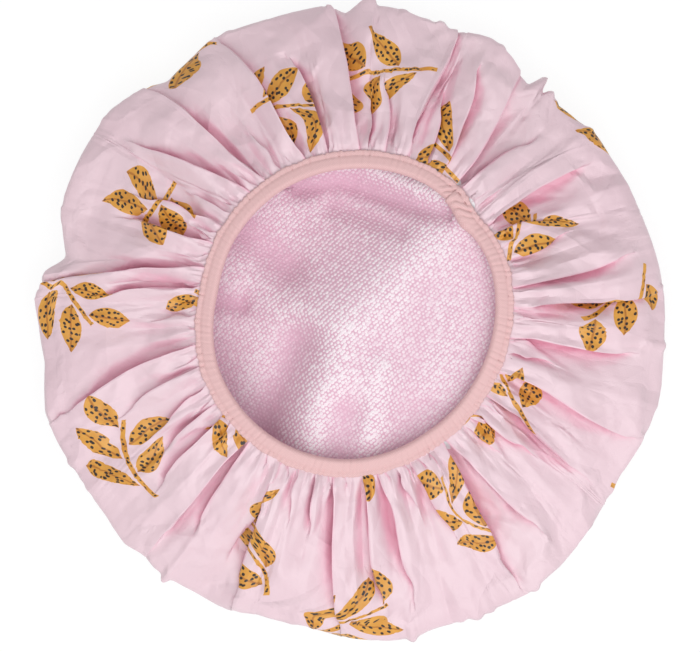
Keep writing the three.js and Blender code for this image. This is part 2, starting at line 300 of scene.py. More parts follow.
def settle(wanted, samples):
    """Places for the columns of points: near the folds they belong to, with even steps between."""
    count = len(wanted)
    hold = 2.0
    pull = np.diag(np.full(count, hold))
    right = hold * wanted
    for k in range(count):
        n = (k + 1) % count
        step = samples[k] * 360.0 / samples.sum() - (360 if n == 0 else 0)
        stiff = 1.0 / samples[k]
        pull[k, k] += stiff
        pull[n, n] += stiff
        pull[k, n] -= stiff
        pull[n, k] -= stiff
        right[k] -= stiff * step
        right[n] += stiff * step
    return np.linalg.solve(pull, right)


def paired(first, second):
    return np.stack([first, second], axis=1).ravel()


def column_angles(middle, under, samples):
    """Angle on the flat cut of every column of points, a few of them under each pleat."""
    total = samples.sum()
    column = np.concatenate([[0], np.cumsum(samples)[:-1]])
    place = settle(middle, samples)
    behind = (place - np.roll(place, 1)) % 360
    ahead = np.roll(behind, -1)
    step = np.minimum(behind / np.roll(samples, 1), ahead / samples)
    half = np.maximum(under / 2, 0.4 * UNDERLAY_STEPS * step)
    half = np.minimum(half, 0.42 * np.minimum(behind, ahead))
    knot = paired(column, column + UNDERLAY_STEPS)
    knots = np.concatenate([knot - total, knot, knot + total])
    knot_angles = paired(place - half, place + half)
    return np.interp(np.arange(total), knots, (knot_angles + TURNS).ravel())


# %% Size of the pleats on a ring
WHOLE_LENGTH = 0.94
LEAST_POWER = 0.12


def pleat_power(arc, share, rim_arc, reach):
    """How full each pleat is on a ring: 0 where it has died out, 1 where it is whole."""
    power = smooth_step((share - 1 + reach) / (0.2 + 0.25 * reach))
    over_rim = np.clip((arc - CROWN_RADIUS - 8) / (rim_arc - CROWN_RADIUS - 8), 0, 1)
    return np.where(reach > WHOLE_LENGTH, np.maximum(power, LEAST_POWER) * over_rim, power)


def pleat_depths(arc, cut, rim_arc):
    """How far a main pleat and a small one step up at their folds, at this distance from the middle."""
    stops = [CROWN_RADIUS, rim_arc - 8, rim_arc + 6, rim_arc + 40, cut - 14, cut - 5, cut - 3, cut]
    fine_stops = [0, cut - 40, cut - 12, cut - 5, cut - 3, cut]
    return (np.interp(arc, stops, [0, 1.5, 3.6, 7.0, 6.0, 2.4, 1.0, 0.5]),
            np.interp(arc, fine_stops, [0, 0.8, 2.4, 1.8, 0.9, 0.4]))


def fold_angles(centre, overlap, fullness):
    """Angles of each pleat's two folds on the cap and on the flat cut, and the flat width between."""
    theta_a = centre + overlap / 2
    theta_b = centre - overlap / 2
    next_a = np.append(theta_a[1:], theta_a[0] + 360)
    panel = np.maximum((next_a - theta_b) / fullness, 0.05)
    under = overlap / fullness
    scale = 360.0 / (panel.sum() + under.sum())
    phi_a = np.concatenate([[0], np.cumsum((under + panel) * scale)[:-1]])
    phi_b = phi_a + under * scale
    shift = np.mean((phi_a + phi_b) / 2 - centre)
    return theta_a, theta_b, phi_a - shift, phi_b - shift, under * scale


def on_ring(ring, degrees):
    """Points or directions of a closed ring at these angles."""
    closed = np.concatenate([ring, ring[:1]])
    return np.stack([np.interp(degrees % 360, closed_degrees, closed[:, axis]) for axis in range(3)], axis=1)


depths = pleat_depths(shell_rim + 40, shell_cut, shell_rim)
print("main pleats 40 mm past the rim, mm deep:", round(depths[0], 1))

# %% Lay the pleats
SWAY = 0.15
SWAY_LENGTH = 11.0
MOST_OVERLAP = 2.16
CROWNING = 0.2
CROWNING_DEGREES = 3.0


def gather(arcs, pleats, layer, depth_scale):
    """Points of a layer with its pleats laid, ring by ring, and the flat places of the same points."""
    base, normal, cut, rim_arc = bag_layer(arcs, layer)
    band, end, reach, size, lie, is_main = pleats.T
    main = np.flatnonzero(is_main > 0.5)
    wobble = np.random.default_rng(8).uniform(0, 2 * math.pi, len(pleats))
    gaps = (np.roll(band, -1) - band) % 360
    samples = np.maximum(4, np.round(np.radians(gaps) * PANEL_RADIUS / PANEL_STEP)).astype(int)
    samples = samples + UNDERLAY_STEPS
    points = []
    flat = []
    for j, arc in enumerate(arcs):
        share = np.clip((arc - rim_arc) / (cut - rim_arc), 0, 1)
        centre = end + (((band - end + 180) % 360) - 180) * share
        centre = centre + SWAY * np.sin(wobble + arc / SWAY_LENGTH) * (1 - share**8)
        power = pleat_power(arc, share, rim_arc, reach)
        # The spare length of this ring, shared among the pleats
        ring_length = np.linalg.norm(np.roll(base[j], -1, axis=0) - base[j], axis=1).sum()
        fullness = max(2 * math.pi * arc / ring_length, 1.0)
        weight = size * power + 1e-6
        overlap = np.degrees(math.pi * (fullness - 1)) * weight / weight.sum()
        overlap = np.minimum(overlap, MOST_OVERLAP * np.minimum(gaps, np.roll(gaps, 1)))
        theta_a, theta_b, phi_a, phi_b, under = fold_angles(centre, overlap, fullness)
        middle = (phi_a + phi_b) / 2
        # Heights at the two folds of each pleat
        main_depth, fine_depth = pleat_depths(arc, cut, rim_arc)
        depth = depth_scale * main_depth
        fine = depth_scale * fine_depth
        drop = np.where(is_main > 0.5, depth * np.minimum(size, 1.2) * power, fine * power)
        high = lie * drop / 2
        level = round_fit(middle, paired(phi_a[main], phi_b[main]), paired(high[main], -high[main]))
        level[main] = 0
        # From angles on the flat cut to angles on the cap, and the height over the plain layer
        fold_phi = paired(phi_a, phi_b)
        phi = column_angles(middle, under, samples)
        theta = round_fit(phi, fold_phi, paired(theta_a, theta_b), climbing=True)
        height = round_fit(phi, fold_phi, paired(level + high, level - high))
        # A panel is a little crowned between its folds
        nearest = np.abs((phi[:, None] - middle[None, main] + 180) % 360 - 180).min(axis=1)
        height = height + CROWNING * depth * (1 - np.exp(-((nearest / CROWNING_DEGREES) ** 2))) * share
        points.append(on_ring(base[j], theta) + height[:, None] * on_ring(normal[j], theta))
        flat.append(polar(np.radians(phi), arc, 0.0))
    return np.array(points), np.array(flat)


shell_arcs = np.concatenate([[60.0, 90.0, 105.0], np.linspace(112, shell_cut, 42)])
shell_points, shell_flat = gather(shell_arcs, shell_pleats, SHELL_LAYER, depth_scale=1.0)
print("pleated shell:", shell_points.shape[0], "rings of", shell_points.shape[1], "points")

# %% [markdown]
# ## Let the cloth settle
# Pleats laid by rule are too even. A short Cloth simulation lets them push on each other and find
# their own folds. Its rest shape is the flat cut, so the cloth can bend but hardly stretch. The crown
# and the hem are pinned, the rim is held softly, and a light pressure keeps the bag from collapsing.
# The simulation runs ten times larger than life, where Blender's cloth is steadier.

# %% Helpers for meshes
def grid_faces(rings, around):
    """Faces between closed rings of points."""
    index = np.arange(rings * around).reshape(rings, around)
    ahead = np.roll(index, -1, axis=1)
    return np.stack([index[:-1], ahead[:-1], ahead[1:], index[1:]], axis=-1).reshape(-1, 4)


def new_object(name, vertices, edges, faces):
    """A mesh object in the scene, from vertices in metres."""
    mesh = bpy.data.meshes.new(name)
    mesh.from_pydata(vertices.tolist(), edges, faces)
    made = bpy.data.objects.new(name, mesh)
    bpy.context.scene.collection.objects.link(made)
    return made


def keep_result(piece):
    """Makes what the piece's modifiers give its own plain mesh."""
    depsgraph = bpy.context.evaluated_depsgraph_get()
    ready = piece.evaluated_get(depsgraph)
    old = piece.data
    piece.data = bpy.data.meshes.new_from_object(ready, preserve_all_data_layers=True, depsgraph=depsgraph)
    piece.modifiers.clear()
    bpy.data.meshes.remove(old)


# %% Cloth simulation
SIMULATION_SCALE = 10 * MM
SIMULATION_FRAMES = 8
CROWN_PINNED = 138.0
RIM_HOLD = 0.3
COATED_CLOTH = {
    "quality": 6, "mass": 0.15, "air_damping": 4, "pin_stiffness": 1,
    "tension_stiffness": 20, "compression_stiffness": 15, "shear_stiffness": 4, "bending_stiffness": 2,
    "tension_damping": 15, "compression_damping": 15, "shear_damping": 10, "bending_damping": 2,
    "use_pressure": True, "uniform_pressure_force": 0.5,
}
CLOTH_ON_CLOTH = {
    "use_collision": False, "use_self_collision": True, "self_distance_min": 0.006,
    "self_friction": 5, "collision_quality": 2,
}


def let_settle(points, flat, arcs, rim_arc):
    rings, around = points.shape[:2]
    vertices = (points * SIMULATION_SCALE).reshape(-1, 3)
    cloth = new_object("settling", vertices, [], grid_faces(rings, around).tolist())
    mesh = cloth.data
    cloth.shape_key_add(name="Basis")
    rest = cloth.shape_key_add(name="flat cut")
    rest.data.foreach_set("co", (flat * SIMULATION_SCALE).reshape(-1))
    rest.value = 0.0
    index = np.arange(rings * around).reshape(rings, around)
    near_rim = (arcs > CROWN_PINNED) & (arcs < rim_arc + 6)
    pins = cloth.vertex_groups.new(name="pins")
    for held, weight in ((index[arcs <= CROWN_PINNED], 1.0), (index[near_rim], RIM_HOLD), (index[-2:], 1.0)):
        pins.add(held.ravel().tolist(), weight, "REPLACE")
    modifier = cloth.modifiers.new("cloth", "CLOTH")
    for part, values in ((modifier.settings, COATED_CLOTH), (modifier.collision_settings, CLOTH_ON_CLOTH)):
        for name, value in values.items():
            setattr(part, name, value)
    modifier.settings.vertex_group_mass = "pins"
    modifier.settings.rest_shape_key = rest
    modifier.settings.effector_weights.gravity = 0
    modifier.point_cache.frame_start = 1
    modifier.point_cache.frame_end = SIMULATION_FRAMES
    for step in range(1, SIMULATION_FRAMES + 1):
        bpy.context.scene.frame_set(step)
    ready = cloth.evaluated_get(bpy.context.evaluated_depsgraph_get())
    settled = np.empty(rings * around * 3)
    ready.data.vertices.foreach_get("co", settled)
    bpy.context.scene.frame_set(1)
    bpy.data.objects.remove(cloth)
    bpy.data.meshes.remove(mesh)
    return settled.reshape(rings, around, 3) / SIMULATION_SCALE


shell_points = let_settle(shell_points, shell_flat, shell_arcs, shell_rim)
print("settled shell, mm:", shell_points.min(axis=(0, 1)).round(1), shell_points.max(axis=(0, 1)).round(1))

# %% [markdown]
# ## Finish the shell's shape
# Ripples finer than the cloth could hold are smoothed, most where the points lie closest. The rim is
# brought back to the outline that it settled away from, and more points go in between. Then come two
# kinds of relief. The shell is a coated cloth that creases like paper, so a coarse net of triangles
# with uneven corners gives each facet its tilt. Beside the tape the elastic draws up ridges of three
# sizes: puckers, short gathers and long folds. They lie partly in the cloth's surface and partly on
# it, so that the cap keeps its height.

# %% Smooth the ripples and fit the rim
CLOSE_POINTS = 1.7
RIM_BINS = 720


def smooth_ripples(points, rounds):
    held = points.copy()
    for _ in range(rounds):
        right = np.roll(points, -1, axis=1)
        left = np.roll(points, 1, axis=1)
        ahead = np.maximum(np.linalg.norm(right - points, axis=2, keepdims=True), 0.2)
        behind = np.roll(ahead, 1, axis=1)
        ring_mean = (right * behind + left * ahead) / (ahead + behind)
        share = np.clip((CLOSE_POINTS - (ahead + behind) / 2) / 1.2, 0, 0.6)
        points = points + share * (ring_mean - points)
        inward = np.concatenate([points[:1], points[:-1]])
        outward = np.concatenate([points[1:], points[-1:]])
        points = points + 0.06 * ((inward + outward) / 2 - points)
        points[-2:] = held[-2:]
        points[0] = held[0]
    return points


def fit_rim(points, arcs, rim_arc, cut):
    from_middle = points[:, :, :2] - cap_centre
    angles = np.degrees(np.arctan2(from_middle[..., 1], from_middle[..., 0])) % 360
    reach = np.linalg.norm(from_middle, axis=2)
    per_degree = RIM_BINS / 360
    bins = np.floor(angles * per_degree).astype(int) % RIM_BINS
    outline = np.zeros(RIM_BINS)
    np.maximum.at(outline, bins.ravel(), reach.ravel())
    bin_degrees = (np.arange(-1, RIM_BINS + 1) + 0.5) / per_degree
    wanted = CAP_RADIUS + round_list(RIM_PLACES, bin_degrees[1:-1])
    ratio = smooth_ring(wanted / outline, 1)
    ratio = np.interp(angles, bin_degrees, np.concatenate([ratio[-1:], ratio, ratio[:1]]))
    weight = np.interp(arcs, [CROWN_RADIUS, rim_arc - 6, rim_arc + 10, cut - 25], [0, 1, 1, 0])[:, None]
    points = points.copy()
    points[:, :, :2] = cap_centre + from_middle * (1 + weight * (ratio - 1))[..., None]
    return points


shell_points = smooth_ripples(shell_points, rounds=5)
shell_points = fit_rim(shell_points, shell_arcs, shell_rim, shell_cut)
print("fitted shell, mm:", np.ptp(shell_points, axis=(0, 1)).round(1))


# %% More points
def more_rings(grid):
    """A ring between every two, on a smooth curve through the rings."""
    before = np.concatenate([grid[:1], grid[:-2]])
    after = np.concatenate([grid[2:], grid[-1:]])
    between = (9 * (grid[:-1] + grid[1:]) - before - after) / 16
    result = np.empty((2 * len(grid) - 1,) + grid.shape[1:])
    result[0::2] = grid
    result[1::2] = between
    return result


def more_columns(grid):
    """A column between every two, on a smooth curve round each ring."""
    ahead = np.roll(grid, -1, axis=1)
    between = (9 * (grid + ahead) - np.roll(grid, 1, axis=1) - np.roll(grid, -2, axis=1)) / 16
    return np.stack([grid, between], axis=2).reshape(grid.shape[0], -1, grid.shape[2])


shell_points = more_columns(more_rings(shell_points))
shell_flat = more_columns(more_rings(shell_flat))
shell_arcs = more_rings(shell_arcs)
print("finer shell:", shell_points.shape[0], "rings of", shell_points.shape[1], "points")

# %% Ridges that the elastic draws up
# Seed, ranges of width in degrees, of length and of height in millimetres, rise, and power of the ridge
GATHER_SIZES = [
    (23, (1.4, 2.6), (6, 20), (0.5, 1.3), 2.5, 1.4),
    (24, (3.2, 6.5), (22, 62), (1.2, 3.4), 6, 1.3),
    (25, (6, 13), (75, 130), (2.5, 6.5), 34, 1.1),
]
RIDGE_SLANT = 0.07
RIDGE_START = 2.4
RIDGE_FULL = 4.0
SUNK_SHARE = 0.75


def edge_degrees(points, arcs):
    """Angle of each point as seen from a middle that moves over to the mouth's on the way in."""
    share = np.clip((arcs - shell_rim) / (shell_cut - shell_rim), 0, 1)[:, None, None]
    from_middle = points[..., :2] - cap_centre - MOUTH_OFFSET * share
    return np.degrees(np.arctan2(from_middle[..., 1], from_middle[..., 0])) % 360


def drawn_up(points, arcs, seed, pitches, lengths, heights, rise, power):
    """Heights of the ridges beside the tape, each with its own width, length and slant."""
    rng = np.random.default_rng(seed)
    degrees = edge_degrees(points, arcs)
    inside = (shell_cut - arcs)[:, None]
    total = np.zeros(degrees.shape)
    place = 0.0
    while place < 360 - pitches[0]:
        pitch = rng.uniform(*pitches)
        length = rng.uniform(*lengths)
        height = rng.uniform(*heights)
        slant = rng.uniform(-RIDGE_SLANT, RIDGE_SLANT)
        away = (degrees - place - slant * inside + 180) % 360 - 180
        half = pitch * (0.52 + 0.3 * np.clip(inside / length, 0, 1))
        ridge = np.clip(1 - (np.abs(away) / half) ** power, 0, 1)
        rising = np.clip((inside - RIDGE_START) / rise, 0, 1)
        fading = np.clip(1 - (inside - RIDGE_FULL) / length, 0, 1)
        total = np.maximum(total, height * ridge * (rising * fading))
        place += pitch
    return total


gathers = sum(drawn_up(shell_points, shell_arcs, *sizes) for sizes in GATHER_SIZES)
gathers -= SUNK_SHARE * gathers.mean(axis=1, keepdims=True)
print("gathers, mm:", gathers.min().round(2), "to", gathers.max().round(2))

# %% Creases
# Height, seed, and the mean width and length of a facet, in millimetres
CREASE_NETS = [(4.4, 21, 15, 75), (1.5, 22, 9, 26)]
NET_RADIUS = 120.0
NET_START = 115.0
NET_LENGTH = 130.0
DEEPEST_CREASE = -2.2


def crease_heights(points, arcs, seed, wide, long):
    """Heights of a coarse net of uneven corners, by angle and by distance along the cloth."""
    rng = np.random.default_rng(seed)
    columns = int(round(2 * math.pi * NET_RADIUS / wide))
    rows = int(round(NET_LENGTH / long)) + 2
    per_degree = math.radians(NET_RADIUS)
    corners = []
    for row in range(rows):
        for column in range(columns):
            degrees = (column + 0.5 * (row % 2) + 0.42 * rng.uniform(-1, 1)) * 360 / columns
            arc = NET_START + (row + 0.4 * rng.uniform(-1, 1)) * long
            corners.append((degrees, arc, rng.uniform(-1, 1)))
    corners = [(d + turn, a, h) for d, a, h in corners for turn in (-360, 0, 360) if -25 < d + turn < 385]
    spread = [Vector((d * per_degree, a)) for d, a, h in corners]
    places, _, triangles, found, _, _ = delaunay_2d_cdt(spread, [], [], 0, 1e-5)
    heights = [corners[source[0]][2] for source in found]
    net = BVHTree.FromPolygons([(v.x, v.y, h) for v, h in zip(places, heights)], triangles)
    degrees = edge_degrees(points, arcs)
    down = Vector((0, 0, -1))
    result = np.zeros(degrees.shape)
    for ring, column in np.ndindex(degrees.shape):
        hit = net.ray_cast(Vector((degrees[ring, column] * per_degree, arcs[ring], 5)), down)[0]
        result[ring, column] = hit.z if hit else 0
    return result


crease = sum(height * crease_heights(shell_points, shell_arcs, *net) for height, *net in CREASE_NETS)
crease *= np.interp(shell_arcs, [125, shell_rim, shell_cut - 40, shell_cut - 8], [0, 0.8, 1, 0])[:, None]
crease = np.maximum(crease, DEEPEST_CREASE)
shell_points[..., 2] += crease + gathers
print("creases, mm:", crease.min().round(2), "to", crease.max().round(2))

# %% [markdown]
# ## Mesh of the shell
# Light that reaches the bottom of a fold has met pink cloth on its way, so a real cap looks pinker in
# there; here that is painted shade in the colour. Rays from every second point count how much of its
# surroundings is open, and the mesh keeps that number as an attribute, from which the finish paints
# the shade. Decimate then leaves fewer and larger faces, and the edges between steep ones are marked
# sharp: that gives the facets of coated cloth.

# %% How open each place of the shell is
def openness(points, count, reach):
    """Share of the directions round each point's normal that don't meet the cloth again within reach."""
    rings, around = points.shape[:2]
    across = np.roll(points, -1, axis=1) - np.roll(points, 1, axis=1)
    normals = unit(np.cross(across, np.gradient(points, axis=0))).reshape(-1, 3)
    corners = points.reshape(-1, 3)
    cloth = BVHTree.FromPolygons(corners.tolist(), grid_faces(rings, around).tolist())
    level = 1 - (2 * np.arange(count) + 1) / count
    turn = np.arange(count) * math.pi * (3 - math.sqrt(5))
    width = np.sqrt(1 - level**2)
    ball = np.stack([width * np.cos(turn), width * np.sin(turn), level], axis=1)
    starts = corners + 0.4 * normals
    free = np.zeros(len(corners))
    for way in ball:
        ahead = unit(normals + 0.97 * way)
        for k in range(len(corners)):
            if cloth.ray_cast(starts[k], ahead[k], reach)[0] is None:
                free[k] += 1
    return (free / count).reshape(rings, around, 1)


shell_open = openness(shell_points[::2, ::2], count=12, reach=45.0)
shell_open = np.clip(more_columns(more_rings(shell_open)), 0, 1)
print("openness of the shell:", shell_open.mean().round(2))

# %% Mesh of a round cut
# The UV map spans the round cut with two hundredths to spare
UV_SPAN = 2.04
FACET_SHARE = 0.42
SHARP_ANGLE = math.radians(20)


def cloth_mesh(name, points, flat, cut, face_inwards=False):
    """A closed-crown mesh from rings of points, with the flat cut as its UV map, in metres."""
    rings, around = points.shape[:2]
    middle = points[0].mean(axis=0)
    vertices = np.concatenate([points.reshape(-1, 3), middle[None]]) * MM
    index = np.arange(around)
    fan = np.stack([np.full(around, rings * around), np.roll(index, -1), index], axis=1)
    order = -1 if face_inwards else 1
    faces = grid_faces(rings, around)[:, ::order].tolist() + fan[:, ::order].tolist()
    piece = new_object(name, vertices, [], faces)
    mesh = piece.data
    places = np.concatenate([flat.reshape(-1, 3)[:, :2], [[0, 0]]])
    corner = np.empty(len(mesh.loops), int)
    mesh.loops.foreach_get("vertex_index", corner)
    layer = mesh.uv_layers.new(name="flat_cut")
    layer.data.foreach_set("uv", (0.5 + places[corner] / (UV_SPAN * cut)).ravel())
    mesh.shade_smooth()
    return piece


shell = cloth_mesh("gathered_shell", shell_points, shell_flat, shell_cut)
open_values = shell.data.attributes.new("openness", "FLOAT", "POINT").data
open_values.foreach_set("value", np.append(shell_open.ravel(), 1.0))
facets = shell.modifiers.new("facets", "DECIMATE")
facets.ratio = FACET_SHARE
keep_result(shell)
shell.data.set_sharp_from_angle(angle=SHARP_ANGLE)
print("shell:", len(shell.data.polygons), "faces")

# %% [markdown]
# ## Film and lining
# Under the shell lie a thin white film, which keeps the water out, and the terry lining. They are cut
# a little smaller than the shell and gathered with it, in fewer and wider pleats because they hardly
# show. What shows is the lining through the mouth. It lies loose over the crown, high to the right of
# one long fold and low to its left, in soft folds. So its height is a slope and a sum of strokes:
# lines of places, each with a height and a spread to its two sides. Beside the lap of the tape a
# sliver of the film has slipped out, and a few faces make it.

# %% Soft folds on the crown
CROWN_FOLDS = [
    ([(46, 48), (14, 17), (-6, -1), (-12, -30), (-15.5, -57), (-17, -75)], 3, 16, 12),
    ([(-25, -9), (-33, -28), (-40, -44), (-46, -60)], -7, 8, 8),
    ([(-3, -42), (-6, -60), (-8, -75)], -5, 7, 7),
    ([(-24, 66), (-4, 69), (29, 57), (46, 54)], -4.5, 6, 4),
    ([(-14, 78), (4, 77), (32, 66), (54, 60)], 6, 6, 6),
    ([(-8, 57), (8, 52), (23, 46)], -2.4, 4, 4),
    ([(-52, 45), (-44, 40), (-30, 28)], -5, 7, 7),
    ([(-70, 13), (-53, 10)], -3.5, 4, 4),
    ([(35, 17), (29, -17)], -1.6, 7, 6),
    ([(14, -22), (10, -52)], 2, 5, 5),
    ([(31, -42), (26, -58)], -2.5, 9, 9),
]
LOOSE_LOW = 12.0
LOOSE_HIGH = 32.0
LOOSE_SLOPE = 60.0
LOOSE_SLOPE_START = 0.85
LOOSE_RADIUS = 76.0
LOOSE_EDGE = 112.0


def from_line(x, y, line):
    """Distance from a line of places, positive on its left."""
    nearest = np.full(np.shape(x), 1e9)
    side = np.zeros(np.shape(x))
    for (x0, y0), (x1, y1) in zip(line[:-1], line[1:]):
        squared = (x1 - x0) ** 2 + (y1 - y0) ** 2
        along = np.clip(((x - x0) * (x1 - x0) + (y - y0) * (y1 - y0)) / squared, 0, 1)
        away_x = x - x0 - along * (x1 - x0)
        away_y = y - y0 - along * (y1 - y0)
        distance = np.hypot(away_x, away_y)
        closer = distance < nearest
        nearest = np.where(closer, distance, nearest)
        side = np.where(closer, np.sign((x1 - x0) * away_y - (y1 - y0) * away_x), side)
    return nearest * side


def crown_height(x, y):
    """Height of the loose lining over the flat crown, from the middle of the rim."""
    shelf = from_line(x, y, CROWN_FOLDS[0][0])
    rise = smooth_step(shelf / LOOSE_SLOPE + LOOSE_SLOPE_START)
    total = LOOSE_LOW + (LOOSE_HIGH - LOOSE_LOW) * rise
    for line, height, left, right in CROWN_FOLDS:
        away = from_line(x, y, line)
        total += height * np.exp(-0.5 * (away / np.where(away > 0, left, right)) ** 2)
    fade = smooth_step((LOOSE_EDGE - np.hypot(x, y)) / (LOOSE_EDGE - LOOSE_RADIUS))
    return np.maximum(total, 0) * fade


print("loose lining, mm over the crown:", crown_height(np.array([-45.0, 45.0]), np.zeros(2)).round(1))

# %% Film and lining
FILM_LAYER = {"crown": 0.8, "inset": 7.5, "sag": 32.0, "level": 0.4}
LINING_LAYER = {"crown": 2.2, "inset": 10.0, "sag": 38.0, "level": -0.6}
LAYER_DEPTH = 0.5
FOLDS_END = 113.0
layer_pleats = np.array([(*pleat, 1) for pleat in PLEATS[::2]])


def inner_layer(name, layer, rings, face_inwards, folds):
    cut = cut_of(layer)[0]
    arcs = np.concatenate([rings, np.linspace(116, cut, 36)])
    points, flat = gather(arcs, layer_pleats, layer, LAYER_DEPTH)
    if folds:
        loose = crown_height(points[..., 0] - cap_centre[0], points[..., 1] - cap_centre[1])
        points[..., 2] += loose * (arcs < FOLDS_END)[:, None]
    return cloth_mesh(name, points, flat, cut, face_inwards), cut


film, film_cut = inner_layer("waterproof_sheet", FILM_LAYER, [40.0, 80.0], face_inwards=False, folds=False)
lining, lining_cut = inner_layer(
    "terry_sheet", LINING_LAYER, np.linspace(3, 111, 73), face_inwards=True, folds=True)
print("round cuts, mm across: film", round(2 * film_cut, 1), "and lining", round(2 * lining_cut, 1))

# %% Sliver of film beside the lap
SLIVER_DEGREES = (42.3, 46.7)
SLIVER_WIDTH = 1.5
SLIVER_STEPS = 9
sliver_angles = np.radians(np.linspace(*SLIVER_DEGREES, SLIVER_STEPS))
sliver_width = SLIVER_WIDTH * np.sin(np.linspace(0, math.pi, SLIVER_STEPS)) ** 0.6
sliver_rows = [edge_point(sliver_angles, across, face) for across, face in (
    (2.6, 1.42), (3.9, 2.0), (3.9 + sliver_width, 3.0))]
film_faces = bmesh.new()
film_faces.from_mesh(film.data)
sliver_corners = [[film_faces.verts.new(place * MM) for place in row] for row in sliver_rows]
for lower, upper in zip(sliver_corners[:-1], sliver_corners[1:]):
    for k in range(SLIVER_STEPS - 1):
        film_faces.faces.new((lower[k], upper[k], upper[k + 1], lower[k + 1])).smooth = True
film_faces.to_mesh(film.data)
film_faces.free()
print("film:", len(film.data.polygons), "faces; lining:", len(lining.data.polygons), "faces")

# %% [markdown]
# ## Geometry Nodes for terry and thread
# Terry is a field of small loops, and a seam is a row of equal stitches. Both repeat, so a node tree
# makes them: it takes points or a path, puts one small shape at each place and turns it the right
# way, or sweeps a thread along the path. The trees have named inputs for their sizes. At the end the
# instances become real geometry, because the finished piece is a plain mesh.

# %% Helpers for node trees
def add(tree, kind, inputs=None, **settings):
    """Adds a node with its settings, and sets or links its inputs."""
    made = tree.nodes.new(kind)
    for name, value in settings.items():
        setattr(made, name, value)
    for key, value in (inputs or {}).items():
        if isinstance(value, bpy.types.NodeSocket):
            tree.links.new(value, made.inputs[key])
        else:
            made.inputs[key].default_value = value
    return made


def new_tree(name, sizes):
    tree = bpy.data.node_groups.new(name, "GeometryNodeTree")
    tree.interface.new_socket("Geometry", in_out="INPUT", socket_type="NodeSocketGeometry")
    for label in sizes:
        tree.interface.new_socket(label, in_out="INPUT", socket_type="NodeSocketFloat")
    tree.interface.new_socket("Material", in_out="INPUT", socket_type="NodeSocketMaterial")
    tree.interface.new_socket("Geometry", in_out="OUTPUT", socket_type="NodeSocketGeometry")
    return tree, add(tree, "NodeGroupInput").outputs


def finish_tree(tree, geometry, material):
    real = add(tree, "GeometryNodeRealizeInstances", {"Geometry": geometry}).outputs[0]
    dressed = add(tree, "GeometryNodeSetMaterial", {"Geometry": real, "Material": material}).outputs[0]
    add(tree, "NodeGroupOutput", {"Geometry": dressed})
    print("node tree:", tree.name, "with", len(tree.nodes), "nodes")


def grow(name, points, edges, tree, values, attributes=None):
    """Runs a tree on points or a path and keeps the result as a plain mesh."""
    piece = new_object(name, np.asarray(points) * MM, edges, [])
    for label, (kind, numbers) in (attributes or {}).items():
        field = "vector" if kind == "FLOAT_VECTOR" else "value"
        piece.data.attributes.new(label, kind, "POINT").data.foreach_set(field, np.ravel(numbers))
    modifier = piece.modifiers.new("grow", "NODES")
    modifier.node_group = tree
    for item in tree.interface.items_tree:
        if item.in_out == "INPUT" and item.name in values:
            modifier[item.identifier] = values[item.name]
    keep_result(piece)
    print(name + ":", len(piece.data.polygons), "faces")
    return piece


# %% Tree for the loops of the terry
# A loop is a low cone with eight sides. Its bottom stays flat, so that the sides shade as a dome.
# It is a little longer one way: these shares of its width lie to each side of its middle.
LOOP_HALVES = (0.49, 0.42)
loop_tree, given = new_tree("terry loops", ["Loop width", "Loop height"])
upward = add(loop_tree, "GeometryNodeInputNamedAttribute", {"Name": "stand"}, data_type="FLOAT_VECTOR")
upright = add(loop_tree, "FunctionNodeAlignRotationToVector", {"Vector": upward.outputs[0]}, axis="Z")
swing = add(loop_tree, "FunctionNodeRandomValue", {2: 0.3, 3: 1.3, "Seed": 3}, data_type="FLOAT")
spin = add(loop_tree, "FunctionNodeAxisAngleToRotation", {"Axis": (0, 0, 1), "Angle": swing.outputs[1]})
facing = add(loop_tree, "FunctionNodeRotateRotation", {
    0: upright.outputs[0], 1: spin.outputs[0]}, rotation_space="LOCAL").outputs[0]
uneven = add(loop_tree, "FunctionNodeRandomValue", {2: 0.84, 3: 1.18, "Seed": 4}, data_type="FLOAT")
half_x, half_y = [
    add(loop_tree, "ShaderNodeMath", {0: given["Loop width"], 1: part}, operation="MULTIPLY").outputs[0]
    for part in LOOP_HALVES]
size = add(loop_tree, "ShaderNodeCombineXYZ", {0: half_x, 1: half_y, 2: given["Loop height"]}).outputs[0]
grade = add(loop_tree, "ShaderNodeVectorMath", {
    0: size, "Scale": uneven.outputs[1]}, operation="SCALE").outputs[0]
dome = add(loop_tree, "GeometryNodeMeshCone", {
    "Vertices": 8, "Radius Top": 0.0, "Radius Bottom": 1.0, "Depth": 1.0}, fill_type="NGON")
loop_shape = add(loop_tree, "GeometryNodeSetShadeSmooth", {
    "Geometry": dome.outputs["Mesh"], "Selection": dome.outputs["Bottom"],
    "Shade Smooth": False}).outputs[0]
loops = add(loop_tree, "GeometryNodeInstanceOnPoints", {
    "Points": given["Geometry"], "Instance": loop_shape, "Rotation": facing, "Scale": grade}).outputs[0]
finish_tree(loop_tree, loops, given["Material"])

